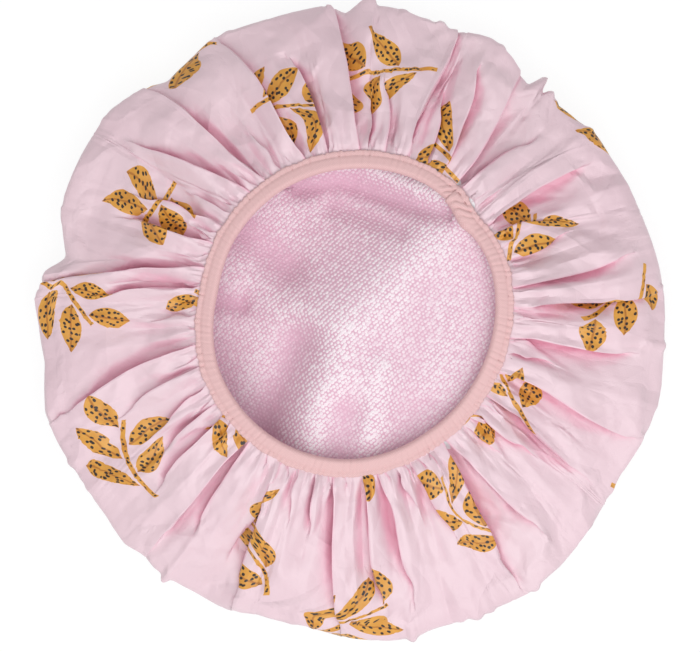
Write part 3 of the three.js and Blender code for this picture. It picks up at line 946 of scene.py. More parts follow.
# %% Tree for a row of stitches
stitch_tree, given = new_tree("row of stitches", ["Stitch pitch", "Stitch length", "Thread width"])
seam_curve = add(stitch_tree, "GeometryNodeMeshToCurve", {"Mesh": given["Geometry"]}).outputs[0]
stitch_places = add(stitch_tree, "GeometryNodeResampleCurve", {
    "Curve": seam_curve, "Length": given["Stitch pitch"]}, mode="LENGTH").outputs[0]
tangent = add(stitch_tree, "GeometryNodeInputTangent").outputs[0]
heading = add(stitch_tree, "FunctionNodeAlignRotationToVector", {"Vector": tangent}, axis="X").outputs[0]
half_length, half_thread = [
    add(stitch_tree, "ShaderNodeMath", {0: given[label], 1: 0.5}, operation="MULTIPLY").outputs[0]
    for label in ("Stitch length", "Thread width")]
extent = add(stitch_tree, "ShaderNodeCombineXYZ", {
    0: half_length, 1: half_thread, 2: half_thread}).outputs[0]
ball = add(stitch_tree, "GeometryNodeMeshUVSphere", {"Segments": 8, "Rings": 6, "Radius": 1.0}).outputs[0]
bead = add(stitch_tree, "GeometryNodeSetShadeSmooth", {"Geometry": ball}).outputs[0]
row = add(stitch_tree, "GeometryNodeInstanceOnPoints", {
    "Points": stitch_places, "Instance": bead, "Rotation": heading, "Scale": extent}).outputs[0]
finish_tree(stitch_tree, row, given["Material"])

# %% Tree for a thread along a path
thread_tree, given = new_tree("thread on a path", ["Thread width"])
thread_curve = add(thread_tree, "GeometryNodeMeshToCurve", {"Mesh": given["Geometry"]}).outputs[0]
thread_radius = add(thread_tree, "ShaderNodeMath", {
    0: given["Thread width"], 1: 0.5}, operation="MULTIPLY").outputs[0]
thread_round = add(thread_tree, "GeometryNodeCurvePrimitiveCircle", {
    "Resolution": 8, "Radius": thread_radius}).outputs[0]
tube = add(thread_tree, "GeometryNodeCurveToMesh", {
    "Curve": thread_curve, "Profile Curve": thread_round, "Fill Caps": True}).outputs[0]
smooth_tube = add(thread_tree, "GeometryNodeSetShadeSmooth", {"Geometry": tube}).outputs[0]
finish_tree(thread_tree, smooth_tube, given["Material"])

# %% [markdown]
# ## Materials
# Each finish starts from the real one. The shell is cotton with a clear coating: smooth, a little
# glossy, with painted shade that makes it pinker deep in its folds, and printed with mustard sprigs.
# The print is drawn on the flat cut, so the folds cut it off as they do on a real cap. One sprig is a
# stem with leaves to both sides; a Voronoi texture scatters it, because each of its cells gives a
# middle and a random turn.

# %% Colours
def hex_colour(code):
    parts = [int(code[k:k + 2], 16) / 255 for k in (1, 3, 5)]
    return tuple(c / 12.92 if c <= 0.04045 else ((c + 0.055) / 1.055) ** 2.4 for c in parts) + (1.0,)


def new_material(name, roughness, **shader):
    material = bpy.data.materials.new(name)
    material.use_nodes = True
    tree = material.node_tree
    surface = tree.nodes["Principled BSDF"]
    surface.inputs["Roughness"].default_value = roughness
    for socket, value in shader.items():
        surface.inputs[socket.replace("_", " ")].default_value = value
    print("material:", name)
    return material, tree, surface


print("middle grey in linear light:", round(hex_colour("#808080")[0], 3))

# %% Plain weave
# A wave texture at scale 1 repeats after this length
WAVE_LENGTH = 0.314


def plain_weave(tree, place, spacing):
    """Height of a plain weave with threads this far apart, in the unit of the place."""
    warp, weft = [
        add(tree, "ShaderNodeTexWave", {"Vector": place, "Scale": WAVE_LENGTH / spacing},
            bands_direction=way).outputs[1] for way in ("X", "Y")]
    return add(tree, "ShaderNodeMath", {0: warp, 1: weft}, operation="MULTIPLY").outputs[0]


# %% Print on the shell: a place in millimetres, and one sprig in each cell
SPRIG_SPACING = 92.0
SPRIG_SCATTER = 0.3
STEM_SHIFT = 7.8
# Printed cotton under a clear coat: matt colours, and a soft shine that tells one facet from the next
coated_cotton, tree, surface = new_material(
    "printed_coated_cotton", 0.45, IOR=1.5, Coat_Weight=0.35, Coat_Roughness=0.36)
uv = add(tree, "ShaderNodeUVMap", uv_map="flat_cut").outputs[0]
uv_size = UV_SPAN * shell_cut
place = add(tree, "ShaderNodeMapping", {
    "Vector": uv, "Location": (-uv_size / 2, -uv_size / 2, 0), "Scale": (uv_size, uv_size, 1)}).outputs[0]
cells = add(tree, "ShaderNodeTexVoronoi", {
    "Vector": place, "Scale": 1 / SPRIG_SPACING, "Randomness": SPRIG_SCATTER}, voronoi_dimensions="2D")
luck = add(tree, "ShaderNodeSeparateColor", {0: cells.outputs["Color"]})
local = add(tree, "ShaderNodeVectorMath", {
    0: place, 1: cells.outputs["Position"]}, operation="SUBTRACT").outputs[0]
sprig_turn = add(tree, "ShaderNodeMath", {
    0: luck.outputs[0], 1: 2 * math.pi}, operation="MULTIPLY").outputs[0]
sprig = add(tree, "ShaderNodeVectorRotate", {
    "Vector": local, "Angle": sprig_turn}, rotation_type="Z_AXIS").outputs[0]
along_cross = add(tree, "ShaderNodeSeparateXYZ", {0: sprig})
stem_x = add(tree, "ShaderNodeMath", {0: along_cross.outputs[0], 1: STEM_SHIFT}, operation="ADD").outputs[0]

# %% Bend of the stem, and the leaves to its two sides
STEM_BEND = -0.0062
STEM_ASIDE = 2.6
LEAF_PITCH = 18.0
LEAF_LEAN = math.radians(50)
bent = add(tree, "ShaderNodeMath", {0: stem_x, 1: 2.0}, operation="POWER").outputs[0]
bend = add(tree, "ShaderNodeMath", {
    0: bent, 1: STEM_BEND, 2: along_cross.outputs[1]}, operation="MULTIPLY_ADD").outputs[0]
stem_y = add(tree, "ShaderNodeMath", {0: bend, 1: STEM_ASIDE}, operation="ADD").outputs[0]
beside = add(tree, "ShaderNodeMath", {0: stem_y}, operation="ABSOLUTE").outputs[0]
other_side = add(tree, "ShaderNodeMath", {0: stem_y, 1: 0.0}, operation="GREATER_THAN").outputs[0]
shifted = add(tree, "ShaderNodeMath", {
    0: other_side, 1: LEAF_PITCH / 2, 2: stem_x}, operation="MULTIPLY_ADD").outputs[0]
along_leaf = add(tree, "ShaderNodeMath", {0: shifted, 1: LEAF_PITCH}, operation="FLOORED_MODULO").outputs[0]
leaf_start = add(tree, "ShaderNodeMath", {0: stem_x, 1: along_leaf}, operation="SUBTRACT").outputs[0]
leaf_x = add(tree, "ShaderNodeMath", {0: along_leaf, 1: math.cos(LEAF_LEAN), 2: add(
    tree, "ShaderNodeMath", {0: beside, 1: math.sin(LEAF_LEAN)}, operation="MULTIPLY").outputs[0]},
    operation="MULTIPLY_ADD").outputs[0]
leaf_y = add(tree, "ShaderNodeMath", {0: beside, 1: math.cos(LEAF_LEAN), 2: add(
    tree, "ShaderNodeMath", {0: along_leaf, 1: -math.sin(LEAF_LEAN)}, operation="MULTIPLY").outputs[0]},
    operation="MULTIPLY_ADD").outputs[0]
print("leaves:", LEAF_PITCH, "mm apart on each side of a stem")

# %% Outline of a sprig
LEAF_HALF = 11.7
LEAF_STALK = 2.5
LEAF_HALF_WIDTH = 5.8
LEAVES_REACH = 19.5
STEM_HALF_WIDTH = 1.1
STEM_REACH = 24.7
PRINT_BLUR = 0.12
from_middle = add(tree, "ShaderNodeMath", {
    0: leaf_x, 1: LEAF_HALF + LEAF_STALK}, operation="SUBTRACT").outputs[0]
relative = add(tree, "ShaderNodeMath", {0: from_middle, 1: LEAF_HALF}, operation="DIVIDE").outputs[0]
squared = add(tree, "ShaderNodeMath", {0: relative, 1: relative}, operation="MULTIPLY").outputs[0]
half_width = add(tree, "ShaderNodeMath", {
    0: squared, 1: -LEAF_HALF_WIDTH, 2: LEAF_HALF_WIDTH}, operation="MULTIPLY_ADD").outputs[0]
off_axis = add(tree, "ShaderNodeMath", {0: leaf_y}, operation="ABSOLUTE").outputs[0]
leaf_inside = add(tree, "ShaderNodeMath", {0: half_width, 1: off_axis}, operation="SUBTRACT").outputs[0]
from_start = add(tree, "ShaderNodeMath", {0: leaf_start}, operation="ABSOLUTE").outputs[0]
whole = add(tree, "ShaderNodeMath", {0: LEAVES_REACH, 1: from_start}, operation="SUBTRACT").outputs[0]
whole_leaf = add(tree, "ShaderNodeMath", {0: leaf_inside, 1: whole}, operation="MINIMUM").outputs[0]
stem_inside = add(tree, "ShaderNodeMath", {0: STEM_HALF_WIDTH, 1: beside}, operation="SUBTRACT").outputs[0]
from_centre = add(tree, "ShaderNodeMath", {0: stem_x}, operation="ABSOLUTE").outputs[0]
stem_end = add(tree, "ShaderNodeMath", {0: STEM_REACH, 1: from_centre}, operation="SUBTRACT").outputs[0]
stem = add(tree, "ShaderNodeMath", {0: stem_inside, 1: stem_end}, operation="MINIMUM").outputs[0]
outline = add(tree, "ShaderNodeMath", {0: whole_leaf, 1: stem}, operation="MAXIMUM").outputs[0]
sprig_mask = add(tree, "ShaderNodeMapRange", {
    "Value": outline, "From Min": -PRINT_BLUR, "From Max": PRINT_BLUR},
    interpolation_type="SMOOTHSTEP").outputs[0]
print("sprigs:", SPRIG_SPACING, "mm apart, with leaves", 2 * LEAF_HALF, "mm long")

# %% Colours of the print: mustard with orange veins and dark flecks
WASH_SIZE = 9.0
FLECK_SPACING = 2.9
wash = add(tree, "ShaderNodeTexNoise", {
    "Vector": place, "Scale": 1 / WASH_SIZE, "Detail": 3.0}, noise_dimensions="2D").outputs[0]
leaf_wash = add(tree, "ShaderNodeMix", {
    0: wash, 6: hex_colour("#EDB04A"), 7: hex_colour("#C9822B")}, data_type="RGBA").outputs[2]
vein = add(tree, "ShaderNodeMapRange", {
    "Value": off_axis, "From Min": 0.25, "From Max": 0.7, "To Min": 0.75, "To Max": 0.0}).outputs[0]
veined = add(tree, "ShaderNodeMix", {
    0: vein, 6: leaf_wash, 7: hex_colour("#A9631F")}, data_type="RGBA").outputs[2]
fleck_cells = add(tree, "ShaderNodeTexVoronoi", {
    "Vector": place, "Scale": 1 / FLECK_SPACING, "Randomness": 0.8}, voronoi_dimensions="2D")
fleck = add(tree, "ShaderNodeMapRange", {
    "Value": fleck_cells.outputs["Distance"],
    "From Min": 0.24, "From Max": 0.3, "To Min": 1.0, "To Max": 0.0}).outputs[0]
deep_inside = add(tree, "ShaderNodeMapRange", {
    "Value": outline, "From Min": 0.35, "From Max": 0.6}).outputs[0]
fleck_mask = add(tree, "ShaderNodeMath", {0: fleck, 1: deep_inside}, operation="MULTIPLY").outputs[0]
flecked = add(tree, "ShaderNodeMix", {
    0: fleck_mask, 6: veined, 7: hex_colour("#2A1D18")}, data_type="RGBA").outputs[2]
print("flecks:", FLECK_SPACING, "mm apart")

# %% Colours of the ground: pale pink, and painted shade that makes it pinker where the folds shut it in
DRIFT_SIZE = 60.0
drift = add(tree, "ShaderNodeTexNoise", {
    "Vector": place, "Scale": 1 / DRIFT_SIZE, "Detail": 2.0}, noise_dimensions="2D").outputs[0]
open_ground = add(tree, "ShaderNodeMix", {
    0: drift, 6: hex_colour("#EBD1D9"), 7: hex_colour("#E6C8D2")}, data_type="RGBA").outputs[2]
seen_sky = add(tree, "ShaderNodeAttribute", attribute_name="openness").outputs["Fac"]
# Painted shade: where little of the surroundings is open, the ground is mixed towards a deeper pink
painted_fold_shade = add(tree, "ShaderNodeMapRange", {
    "Value": seen_sky, "From Min": 0.15, "From Max": 0.88, "To Min": 1.0, "To Max": 0.0}).outputs[0]
ground = add(tree, "ShaderNodeMix", {
    0: painted_fold_shade, 6: open_ground, 7: hex_colour("#F0B8CB")}, data_type="RGBA").outputs[2]
printed = add(tree, "ShaderNodeMix", {0: sprig_mask, 6: ground, 7: flecked}, data_type="RGBA").outputs[2]
tree.links.new(printed, surface.inputs["Base Color"])
print("ground: patches of about", DRIFT_SIZE, "mm")

# %% Weave of the shell, drawn at 0.8 mm so that it shows
SHELL_WEAVE = 0.8
CRINKLE_SIZE = 5.0
weave = plain_weave(tree, place, SHELL_WEAVE)
crinkle = add(tree, "ShaderNodeTexNoise", {
    "Vector": place, "Scale": 1 / CRINKLE_SIZE, "Detail": 4.0}, noise_dimensions="2D").outputs[0]
relief = add(tree, "ShaderNodeMath", {0: crinkle, 1: 3.0, 2: weave}, operation="MULTIPLY_ADD").outputs[0]
woven = add(tree, "ShaderNodeBump", {"Height": relief, "Strength": 0.25, "Distance": 0.1 * MM}).outputs[0]
print("weave of the shell:", SHELL_WEAVE, "mm")

# %% Fine creases of the shell, long in the direction of the gathers
FACET_SIZE = 30.0
SMALL_FACET_SIZE = 9.0
DRAWN_OUT = 0.45
outward = add(tree, "ShaderNodeVectorMath", {0: place}, operation="NORMALIZE").outputs[0]
on_round = add(tree, "ShaderNodeVectorMath", {0: outward, "Scale": NET_RADIUS}, operation="SCALE").outputs[0]
from_crown = add(tree, "ShaderNodeVectorMath", {0: place}, operation="LENGTH").outputs["Value"]
drawn_out = add(tree, "ShaderNodeMath", {0: from_crown, 1: DRAWN_OUT}, operation="MULTIPLY").outputs[0]
lengthwise = add(tree, "ShaderNodeCombineXYZ", {2: drawn_out}).outputs[0]
spread_out = add(tree, "ShaderNodeVectorMath", {0: on_round, 1: lengthwise}, operation="ADD").outputs[0]
facet, small_facet = [
    add(tree, "ShaderNodeTexVoronoi", {"Vector": spread_out, "Scale": 1 / width},
        distance="MANHATTAN").outputs["Distance"] for width in (FACET_SIZE, SMALL_FACET_SIZE)]
small_height = add(tree, "ShaderNodeMath", {0: small_facet, 1: -0.7}, operation="MULTIPLY").outputs[0]
crease_height = add(tree, "ShaderNodeMath", {
    0: facet, 1: 8.0, 2: small_height}, operation="MULTIPLY_ADD").outputs[0]
creased = add(tree, "ShaderNodeBump", {
    "Height": crease_height, "Strength": 0.6, "Distance": MM, "Normal": woven}).outputs[0]
tree.links.new(creased, surface.inputs["Normal"])
shell.data.materials.append(coated_cotton)
print(coated_cotton.name + ":", len(tree.nodes), "nodes")

# %% [markdown]
# The lining is cotton terry: matt and soft, paler on top of the loops, and deep pink between them as painted
# shade.
# The binding is cotton bias tape, cut across the weave, so its threads run at 45 degrees. The film is
# a smooth white plastic sheet, the elastic is ribbed webbing and the thread is spun polyester.

# %% Terry
TERRY_YARN = 1.6
TERRY_FIBRE = 0.4
# Woven cotton under the loops: quite matt, and deep pink as painted shade between them
terry_ground, tree, surface = new_material("cotton_terry_ground", 0.95, Sheen_Weight=0.2)
spot = add(tree, "ShaderNodeTexCoord").outputs["Object"]
yarn = add(tree, "ShaderNodeTexNoise", {
    "Vector": spot, "Scale": 1 / (TERRY_YARN * MM), "Detail": 3.0}).outputs[0]
shade = add(tree, "ShaderNodeMix", {
    0: yarn, 6: hex_colour("#DEAFC5"), 7: hex_colour("#E6BED0")}, data_type="RGBA").outputs[2]
tree.links.new(shade, surface.inputs["Base Color"])
bump = add(tree, "ShaderNodeBump", {"Height": yarn, "Strength": 0.25, "Distance": 0.25 * MM}).outputs[0]
tree.links.new(bump, surface.inputs["Normal"])
lining.data.materials.append(terry_ground)

# Loose cotton loops: pale and downy where they stand open; painted shade makes them pinker in hollows and
# beside the edge
terry_loops, tree, surface = new_material("cotton_terry_loops", 0.95, Sheen_Weight=0.25)
loop_tone_with_painted_shade = add(tree, "ShaderNodeAttribute", attribute_name="tone_with_painted_shade").outputs["Fac"]
shade = add(tree, "ShaderNodeMix", {
    0: loop_tone_with_painted_shade, 6: hex_colour("#E8C1D3"), 7: hex_colour("#F9EDF3")}, data_type="RGBA").outputs[2]
tree.links.new(shade, surface.inputs["Base Color"])
spot = add(tree, "ShaderNodeTexCoord").outputs["Object"]
fibre = add(tree, "ShaderNodeTexNoise", {
    "Vector": spot, "Scale": 1 / (TERRY_FIBRE * MM), "Detail": 2.0}).outputs[0]
bump = add(tree, "ShaderNodeBump", {"Height": fibre, "Strength": 0.3, "Distance": 0.15 * MM}).outputs[0]
tree.links.new(bump, surface.inputs["Normal"])

# %% Bias tape, its weave drawn at 0.7 mm so that it shows
TAPE_WEAVE = 0.7
# The tape's UV map runs once along it and once across it, here in millimetres
TAPE_UV_SIZE = (470, 20, 1)
# Woven cotton cut on the bias: matt and salmon pink, with a grain that runs aslant across the edge
bias_tape, tree, surface = new_material("cotton_bias_tape", 0.85, Sheen_Weight=0.1)
tape_place = add(tree, "ShaderNodeUVMap", uv_map="tape").outputs[0]
bias = add(tree, "ShaderNodeMapping", {
    "Vector": tape_place, "Scale": TAPE_UV_SIZE, "Rotation": (0, 0, math.radians(45))}).outputs[0]
weave = plain_weave(tree, bias, TAPE_WEAVE)
shade = add(tree, "ShaderNodeMix", {
    0: weave, 6: hex_colour("#E2B6B7"), 7: hex_colour("#F1CFCE")}, data_type="RGBA").outputs[2]
tree.links.new(shade, surface.inputs["Base Color"])
bump = add(tree, "ShaderNodeBump", {"Height": weave, "Strength": 0.5, "Distance": 0.15 * MM}).outputs[0]
tree.links.new(bump, surface.inputs["Normal"])

# %% Film, elastic and thread: one uneven colour each
# Name, roughness, other values, size of the unevenness in millimetres, and its two colours
UNEVEN_FINISHES = [
    # Smooth plastic sheet: white and even, with a soft shine
    ("white_plastic_film", 0.3, {"IOR": 1.5}, 12, "#F4F4F6", "#E9EAEE"),
    # Webbing woven over rubber: matt, off-white, a little different from yarn to yarn
    ("woven_elastic_webbing", 0.8, {}, 0.8, "#F4F2EF", "#DDD9D2"),
    # Spun thread: a twist that goes from lighter to darker along each stitch
    ("spun_polyester_thread", 0.6, {}, 0.5, "#B0807F", "#C79B99"),
]
uneven_materials = []
for name, roughness, values, grain, first, second in UNEVEN_FINISHES:
    material, tree, surface = new_material(name, roughness, **values)
    spot = add(tree, "ShaderNodeTexCoord").outputs["Object"]
    haze = add(tree, "ShaderNodeTexNoise", {"Vector": spot, "Scale": 1 / (grain * MM)}).outputs[0]
    shade = add(tree, "ShaderNodeMix", {
        0: haze, 6: hex_colour(first), 7: hex_colour(second)}, data_type="RGBA").outputs[2]
    tree.links.new(shade, surface.inputs["Base Color"])
    uneven_materials.append(material)
plastic_film, webbing, thread = uneven_materials
film.data.materials.append(plastic_film)

# %% [markdown]
# ## Terry loops
# The loops stand in rows at about 45 degrees to the cap, 1.75 mm apart. Each one is a low dome with
# eight sides that stands square to the cloth below it, so the height of the crown's folds gives its
# direction. Loops in hollows of the crown or close to the bound edge are painted pinker: painted
# shade, as light meets more pink there. They cover the part of the crown that the mouth can show;
# further out the ground's own relief does.

# %% Places of the loops
LOOP_PITCH = 1.75
LOOP_ROWS = 80
LOOP_JITTER = 0.22
LOOP_FIELD = 88.0
ROW_TURN = math.radians(43)
rng = np.random.default_rng(5)
row_steps = np.arange(-LOOP_ROWS, LOOP_ROWS + 1) * LOOP_PITCH
row_x, row_y = np.meshgrid(row_steps, row_steps)
row_x = row_x + 0.5 * LOOP_PITCH * (np.arange(len(row_steps))[:, None] % 2)
row_x = row_x + rng.uniform(-LOOP_JITTER, LOOP_JITTER, row_x.shape)
row_y = row_y + rng.uniform(-LOOP_JITTER, LOOP_JITTER, row_y.shape)
loop_x = (row_x * math.cos(ROW_TURN) - row_y * math.sin(ROW_TURN)).ravel()
loop_y = (row_x * math.sin(ROW_TURN) + row_y * math.cos(ROW_TURN)).ravel()
kept = np.hypot(loop_x - MOUTH_OFFSET[0], loop_y - MOUTH_OFFSET[1]) < LOOP_FIELD
loop_x = loop_x[kept]
loop_y = loop_y[kept]
print("loops:", len(loop_x))

# %% Loops on the crown
HOLLOW_REACH = 13.0
EDGE_SHADE = 2.5
EDGE_SHADE_REACH = 9.0
LOOP_SINK = 0.07
loop_lift = crown_height(loop_x, loop_y)
slope_x = crown_height(loop_x + 0.5, loop_y) - crown_height(loop_x - 0.5, loop_y)
slope_y = crown_height(loop_x, loop_y + 0.5) - crown_height(loop_x, loop_y - 0.5)
stand = unit(np.stack([-slope_x, -slope_y, np.ones(len(loop_x))], axis=1))
# Painted shade: loops in hollows of the crown and beside the bound edge get a pinker colour
painted_hollow_shade = np.zeros(len(loop_x))
for way in np.radians(np.arange(0, 360, 45)):
    painted_hollow_shade += crown_height(loop_x + HOLLOW_REACH * math.cos(way), loop_y + HOLLOW_REACH * math.sin(way)) / 8
painted_hollow_shade -= loop_lift
from_mouth = np.hypot(loop_x - MOUTH_OFFSET[0], loop_y - MOUTH_OFFSET[1])
from_edge = MOUTH_RADIUS - BINDING_WIDTH / 2 - from_mouth
painted_hollow_shade += EDGE_SHADE * np.exp(-np.maximum(from_edge, 0) / EDGE_SHADE_REACH)
tone_with_painted_shade = np.clip(0.55 + 0.4 * rng.uniform(0, 1, len(loop_x)) - 0.16 * painted_hollow_shade, 0, 1)
loop_feet = [loop_x + cap_centre[0], loop_y + cap_centre[1], LINING_LAYER["crown"] + loop_lift]
pile = grow("terry_pile", np.stack(loop_feet, axis=1) - LOOP_SINK * stand, [], loop_tree,
            {"Loop width": 2.2 * MM, "Loop height": 0.32 * MM, "Material": terry_loops},
            {"stand": ("FLOAT_VECTOR", stand), "tone_with_painted_shade": ("FLOAT", tone_with_painted_shade)})

# %% [markdown]
# ## Bound edge
# A bias tape is folded round the raw edges of the three layers. The elastic that is sewn in with it
# pulls it short, so it puckers across its width, most between the seam and its outer edge. Its end
# laps over its start, which makes a thick and crooked place. It is swept by hand in mesh code as a
# folded sheet of 0.5 mm, because its puckers, the groove of the seam and the lap all act together.

# %% Section and relief of the tape
UPPER_POINTS = 12
LOWER_POINTS = 7
FOLD_AT = BINDING_FOLD - BINDING_WIDTH / 2
RAMP_START = 2 * math.pi - RAMP_ANGLE
LUMP_AT = 47.0
LUMP_SPREAD = 6.0
GROOVE_DEPTH = 0.5
GROOVE_WIDTH = 0.55


def pucker(along, seed, pitch, count):
    """Uneven ripples along the tape, from a few waves of about the same pitch."""
    rng = np.random.default_rng(seed)
    total = np.zeros(np.shape(along))
    for _ in range(count):
        total += np.sin(2 * math.pi * along / (pitch * rng.uniform(0.7, 1.5)) + rng.uniform(0, 2 * math.pi))
    return total / math.sqrt(count)


def tape_section():
    """Across and face of the folded tape's outside, from the upper edge round the fold to the lower edge."""
    upper = np.linspace(BINDING_WIDTH / 2, FOLD_AT, UPPER_POINTS + 1)[:-1]
    bend = np.radians(np.linspace(90, 270, 9))
    fold = FOLD_AT + BINDING_FOLD * np.cos(bend)
    lower = np.linspace(FOLD_AT, BINDING_WIDTH / 2, LOWER_POINTS + 1)[1:]
    across = np.concatenate([upper, fold, lower])
    face = np.concatenate([np.full(UPPER_POINTS, 1.0), np.sin(bend), np.full(LOWER_POINTS, -1.0)])
    return across, face * FOLD_OUTSIDE


def lapped_angles(start, lap, stations, lap_stations):
    """Angles of a band that goes once round from its start and laps over it at the end."""
    once = start + np.linspace(0, RAMP_START, stations)
    over = start + np.linspace(RAMP_START, 2 * math.pi + lap, lap_stations)[1:]
    return np.concatenate([once, over])


def tape_lift(angles, across, side):
    """How far the tape stands off its plain face: puckers, the groove of the seam, the lumpy lap."""
    along = angles * MOUTH_RADIUS
    beyond_seam = np.clip((across - SEAM) / 1.2 + 0.5, 0, 1) * max(side, 0)
    lumpy = np.exp(-0.5 * ((np.degrees(angles) % 360 - LUMP_AT) / LUMP_SPREAD) ** 2)
    ripple = 0.12 * pucker(along + 0.15 * across, seed=31, pitch=2.3, count=6)
    ripple = ripple + 0.2 * beyond_seam * pucker(along, seed=32, pitch=2.2, count=5)
    ripple = ripple + 0.42 * lumpy * pucker(along + across, seed=33, pitch=3.4, count=3)
    groove = -GROOVE_DEPTH * max(side, 0) * math.exp(-0.5 * ((across - SEAM) / GROOVE_WIDTH) ** 2)
    return side * ripple + groove


tape_across, tape_face = tape_section()
print("points across the tape:", len(tape_across))

# %% Folded tape
tape_angles = lapped_angles(LAP_AT, LAP_ANGLE, stations=1100, lap_stations=40)
tape_climb = smooth_step((tape_angles - LAP_AT - RAMP_START) / RAMP_ANGLE) * LAP_STEP
edge_wave = 0.18 * pucker(tape_angles * MOUTH_RADIUS, seed=34, pitch=3.0, count=4)
edge_wave = edge_wave + 0.25 * pucker(tape_angles * MOUTH_RADIUS, seed=35, pitch=14, count=3)
tape_rows = []
for across, face in zip(tape_across, tape_face):
    side = np.clip(face, -1, 1)
    spread = edge_wave * np.clip(across / (BINDING_WIDTH / 2), 0, 1) ** 3 - tape_climb * (across < -3.5)
    lift = face + side * tape_climb + tape_lift(tape_angles, across, side)
    tape_rows.append(edge_point(tape_angles, across + spread, lift))
tape_points = np.stack(tape_rows, axis=1)
stations, count = tape_points.shape[:2]
index = np.arange(stations * count).reshape(stations, count)
tape_faces = np.stack([index[:-1, :-1], index[:-1, 1:], index[1:, 1:], index[1:, :-1]], axis=-1)
tape = new_object("folded_tape", tape_points.reshape(-1, 3) * MM, [], tape_faces.reshape(-1, 4).tolist())
corner = np.empty(len(tape.data.loops), int)
tape.data.loops.foreach_get("vertex_index", corner)
tape_uv = np.stack([corner // count / stations, (corner % count + 0.5) / count], axis=1)
tape.data.uv_layers.new(name="tape").data.foreach_set("uv", tape_uv.ravel())
tape.data.materials.append(bias_tape)
tape.data.shade_smooth()
wall = tape.modifiers.new("cloth", "SOLIDIFY")
wall.thickness = TAPE * MM
wall.offset = -1
keep_result(tape)
print("tape:", len(tape.data.polygons), "faces")

# %% [markdown]
# ## Elastic and thread
# The elastic lies in the fold of the tape, its ends lapped and tacked with a zigzag of thread. One
# row of stitches holds the whole edge: the needle thread shows on the face of the tape and the bobbin
# thread inside the mouth. The stitches are 3 mm apart, each sunk a little into its groove.

# %% Ribbed elastic in the fold
ELASTIC_LAP_AT = math.radians(205)
ELASTIC_LAP = 12.0 / MOUTH_RADIUS
ELASTIC_LAP_STEP = 1.1
ELASTIC_BOTTOM = -1.25
ELASTIC_LOWER_FACE = 0.12
ELASTIC_UPPER_FACE = 0.68
ELASTIC_WIDTH = 3.5
RIB_HEIGHT = 0.06
RIB_PITCH = 0.7
elastic_angles = lapped_angles(ELASTIC_LAP_AT, ELASTIC_LAP, stations=300, lap_stations=24)
elastic_climb = np.clip((elastic_angles - ELASTIC_LAP_AT - RAMP_START) / RAMP_ANGLE, 0, 1) * ELASTIC_LAP_STEP
rib = np.linspace(0, ELASTIC_WIDTH, 21)
rib_height = RIB_HEIGHT * (1 - np.cos(2 * math.pi * rib / RIB_PITCH))
section = [(FOLD_AT + a, ELASTIC_UPPER_FACE + h) for a, h in zip(rib, rib_height)]
section += [(FOLD_AT + a, ELASTIC_LOWER_FACE - h) for a, h in zip(rib[::-1], rib_height[::-1])]
elastic_rows = [edge_point(elastic_angles, a, ELASTIC_BOTTOM + h + elastic_climb) for a, h in section]
elastic_points = np.stack(elastic_rows, axis=1)
stations, count = elastic_points.shape[:2]
first_end = np.arange(count)
last_end = first_end[::-1] + (stations - 1) * count
elastic_faces = grid_faces(stations, count)[:, ::-1].tolist() + [first_end.tolist(), last_end.tolist()]
elastic = new_object("ribbed_elastic", elastic_points.reshape(-1, 3) * MM, [], elastic_faces)
elastic.data.materials.append(webbing)
print("elastic:", len(elastic.data.polygons), "faces")

# %% Tack on the elastic
TACK_TURNS = 12
zigzag = np.arange(TACK_TURNS + 1)
tack_angles = ELASTIC_LAP_AT + (1 + 10 * zigzag / TACK_TURNS) / MOUTH_RADIUS
tack_across = FOLD_AT + np.where(zigzag % 2, 2.8, 0.7)
tack_points = edge_point(tack_angles, tack_across, ELASTIC_BOTTOM + 2.06)
tack = grow("zigzag_tack", tack_points, [(k, k + 1) for k in range(TACK_TURNS)], thread_tree,
            {"Thread width": 0.3 * MM, "Material": thread})

# %% Two rows of stitches
LAP_DEGREES = math.degrees(LAP_ANGLE)
THREAD_LIFT = 0.12
seam_angles = np.radians(fine_degrees)
on_lap = np.degrees(seam_angles - LAP_AT) % 360
seam_climb = np.interp(on_lap, [0, LAP_DEGREES, LAP_DEGREES + 3, 354, 360], [1, 1, 0, 0, 1])
seam_edges = [(k, (k + 1) % len(seam_angles)) for k in range(len(seam_angles))]
stitch_sizes = {
    "Stitch pitch": 3.0 * MM, "Stitch length": 2.5 * MM, "Thread width": 0.5 * MM, "Material": thread}
on_face = FOLD_OUTSIDE + THREAD_LIFT + seam_climb * LAP_STEP
needle_path = edge_point(seam_angles, SEAM, on_face + tape_lift(seam_angles, SEAM, 1))
needle = grow("needle_stitches", needle_path, seam_edges, stitch_tree, stitch_sizes)
bobbin_path = edge_point(seam_angles, SEAM, tape_lift(seam_angles, SEAM, -1) - on_face)
bobbin = grow("bobbin_stitches", bobbin_path, seam_edges, stitch_tree, stitch_sizes)

# %% [markdown]
# ## Floor, light and camera
# The cap lies on a plain white floor and is seen straight from above. A large soft lamp hangs nearly
# overhead, somewhat towards the lower edge of the picture, so folds shade on their upper side, and a
# white world fills the rest. Most of the floor's white is a light of its own that only the camera and
# reflections see, so the floor is white, lights nothing and keeps the cap's shadow.

# %% Floor
FLOOR_HALF = 4.0
FLOOR_TOP = -0.0003
FLOOR_GLOW_SHARE = 0.86
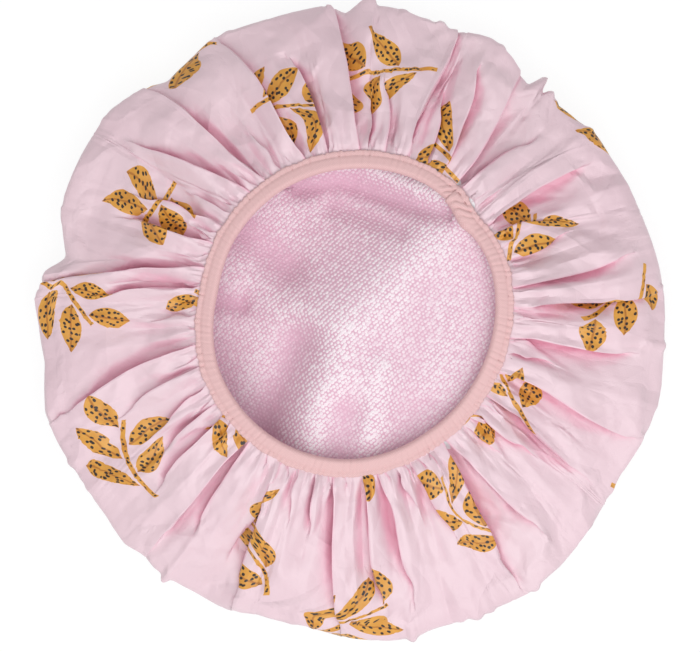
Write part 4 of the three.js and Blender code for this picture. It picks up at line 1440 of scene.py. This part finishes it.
# White paper: matt and even, so the cap's shadow is all that shows on it
floor_white, tree, surface = new_material("white_paper_floor", 0.9)
surface.inputs["Base Color"].default_value = hex_colour("#F4F4F4")
rays = add(tree, "ShaderNodeLightPath")
seen = add(tree, "ShaderNodeMath", {
    0: rays.outputs["Is Camera Ray"], 1: rays.outputs["Is Glossy Ray"]}, operation="MAXIMUM").outputs[0]
share = add(tree, "ShaderNodeMath", {0: seen, 1: FLOOR_GLOW_SHARE}, operation="MULTIPLY").outputs[0]
glow = add(tree, "ShaderNodeEmission", {"Color": (1, 1, 1, 1), "Strength": 1.04}).outputs[0]
paper = add(tree, "ShaderNodeMixShader", {0: share, 1: surface.outputs[0], 2: glow}).outputs[0]
tree.links.new(paper, tree.nodes["Material Output"].inputs["Surface"])
floor_corners = [(-FLOOR_HALF, -FLOOR_HALF), (FLOOR_HALF, -FLOOR_HALF),
                 (FLOOR_HALF, FLOOR_HALF), (-FLOOR_HALF, FLOOR_HALF)]
floor = new_object("floor", np.array([(x, y, FLOOR_TOP) for x, y in floor_corners]), [], [(0, 1, 2, 3)])
floor.data.materials.append(floor_white)

# %% Light
LAMP_PLACE = Vector((0.12, -0.42, 1.05))
scene = bpy.context.scene
scene.view_settings.view_transform = "Standard"
world = bpy.data.worlds.new("white_studio")
world.use_nodes = True
world.node_tree.nodes["Background"].inputs["Color"].default_value = (1, 1, 1, 1)
world.node_tree.nodes["Background"].inputs["Strength"].default_value = 0.51
scene.world = world
lamp = bpy.data.lights.new("soft_lamp", "AREA")
lamp.size = 1.3
lamp.energy = 10.0
lamp_object = bpy.data.objects.new("soft_lamp", lamp)
lamp_object.location = LAMP_PLACE
lamp_object.rotation_euler = (-LAMP_PLACE).to_track_quat("-Z", "Y").to_euler()
scene.collection.objects.link(lamp_object)
print("lamp:", round(lamp.size, 2), "m wide,", round(LAMP_PLACE.length, 2), "m away")

# %% Camera
CAMERA_HEIGHT = 2.4
CAMERA_ASIDE = np.array([-0.0002, -0.0003])
FRAME_WIDTH = 0.3332
SENSOR_WIDTH = 36
camera_data = bpy.data.cameras.new("camera")
camera_data.sensor_width = SENSOR_WIDTH
camera_data.lens = SENSOR_WIDTH * (CAMERA_HEIGHT - RIM_HEIGHT * MM) / FRAME_WIDTH
camera = bpy.data.objects.new("camera", camera_data)
camera.location = (*(cap_centre * MM + CAMERA_ASIDE), CAMERA_HEIGHT)
scene.collection.objects.link(camera)
scene.camera = camera
print("camera lens, mm:", round(camera_data.lens, 1))

# %% [markdown]
# ## Tell the frame what each piece is
# Every piece rides on the one body of the part and stands for its CAD solid.

# %% Pieces on the frame
STANDS_FOR = [
    (shell, "outer_shell", "printed_shell_cloth"),
    (film, "waterproof_film", "clear_white_film"),
    (lining, "terry_lining", "terry_cloth"),
    (tape, "edge_binding", "bias_tape"),
    (elastic, "elastic_band", "woven_elastic"),
    (tack, "elastic_tack", "sewing_thread"),
    (needle, "needle_thread", "sewing_thread"),
    (bobbin, "bobbin_thread", "sewing_thread"),
]
for piece, node, finish in STANDS_FOR:
    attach(piece, "root")
    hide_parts(node)
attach(pile, "root")
print("pieces on the frame:", len(STANDS_FOR) + 1)
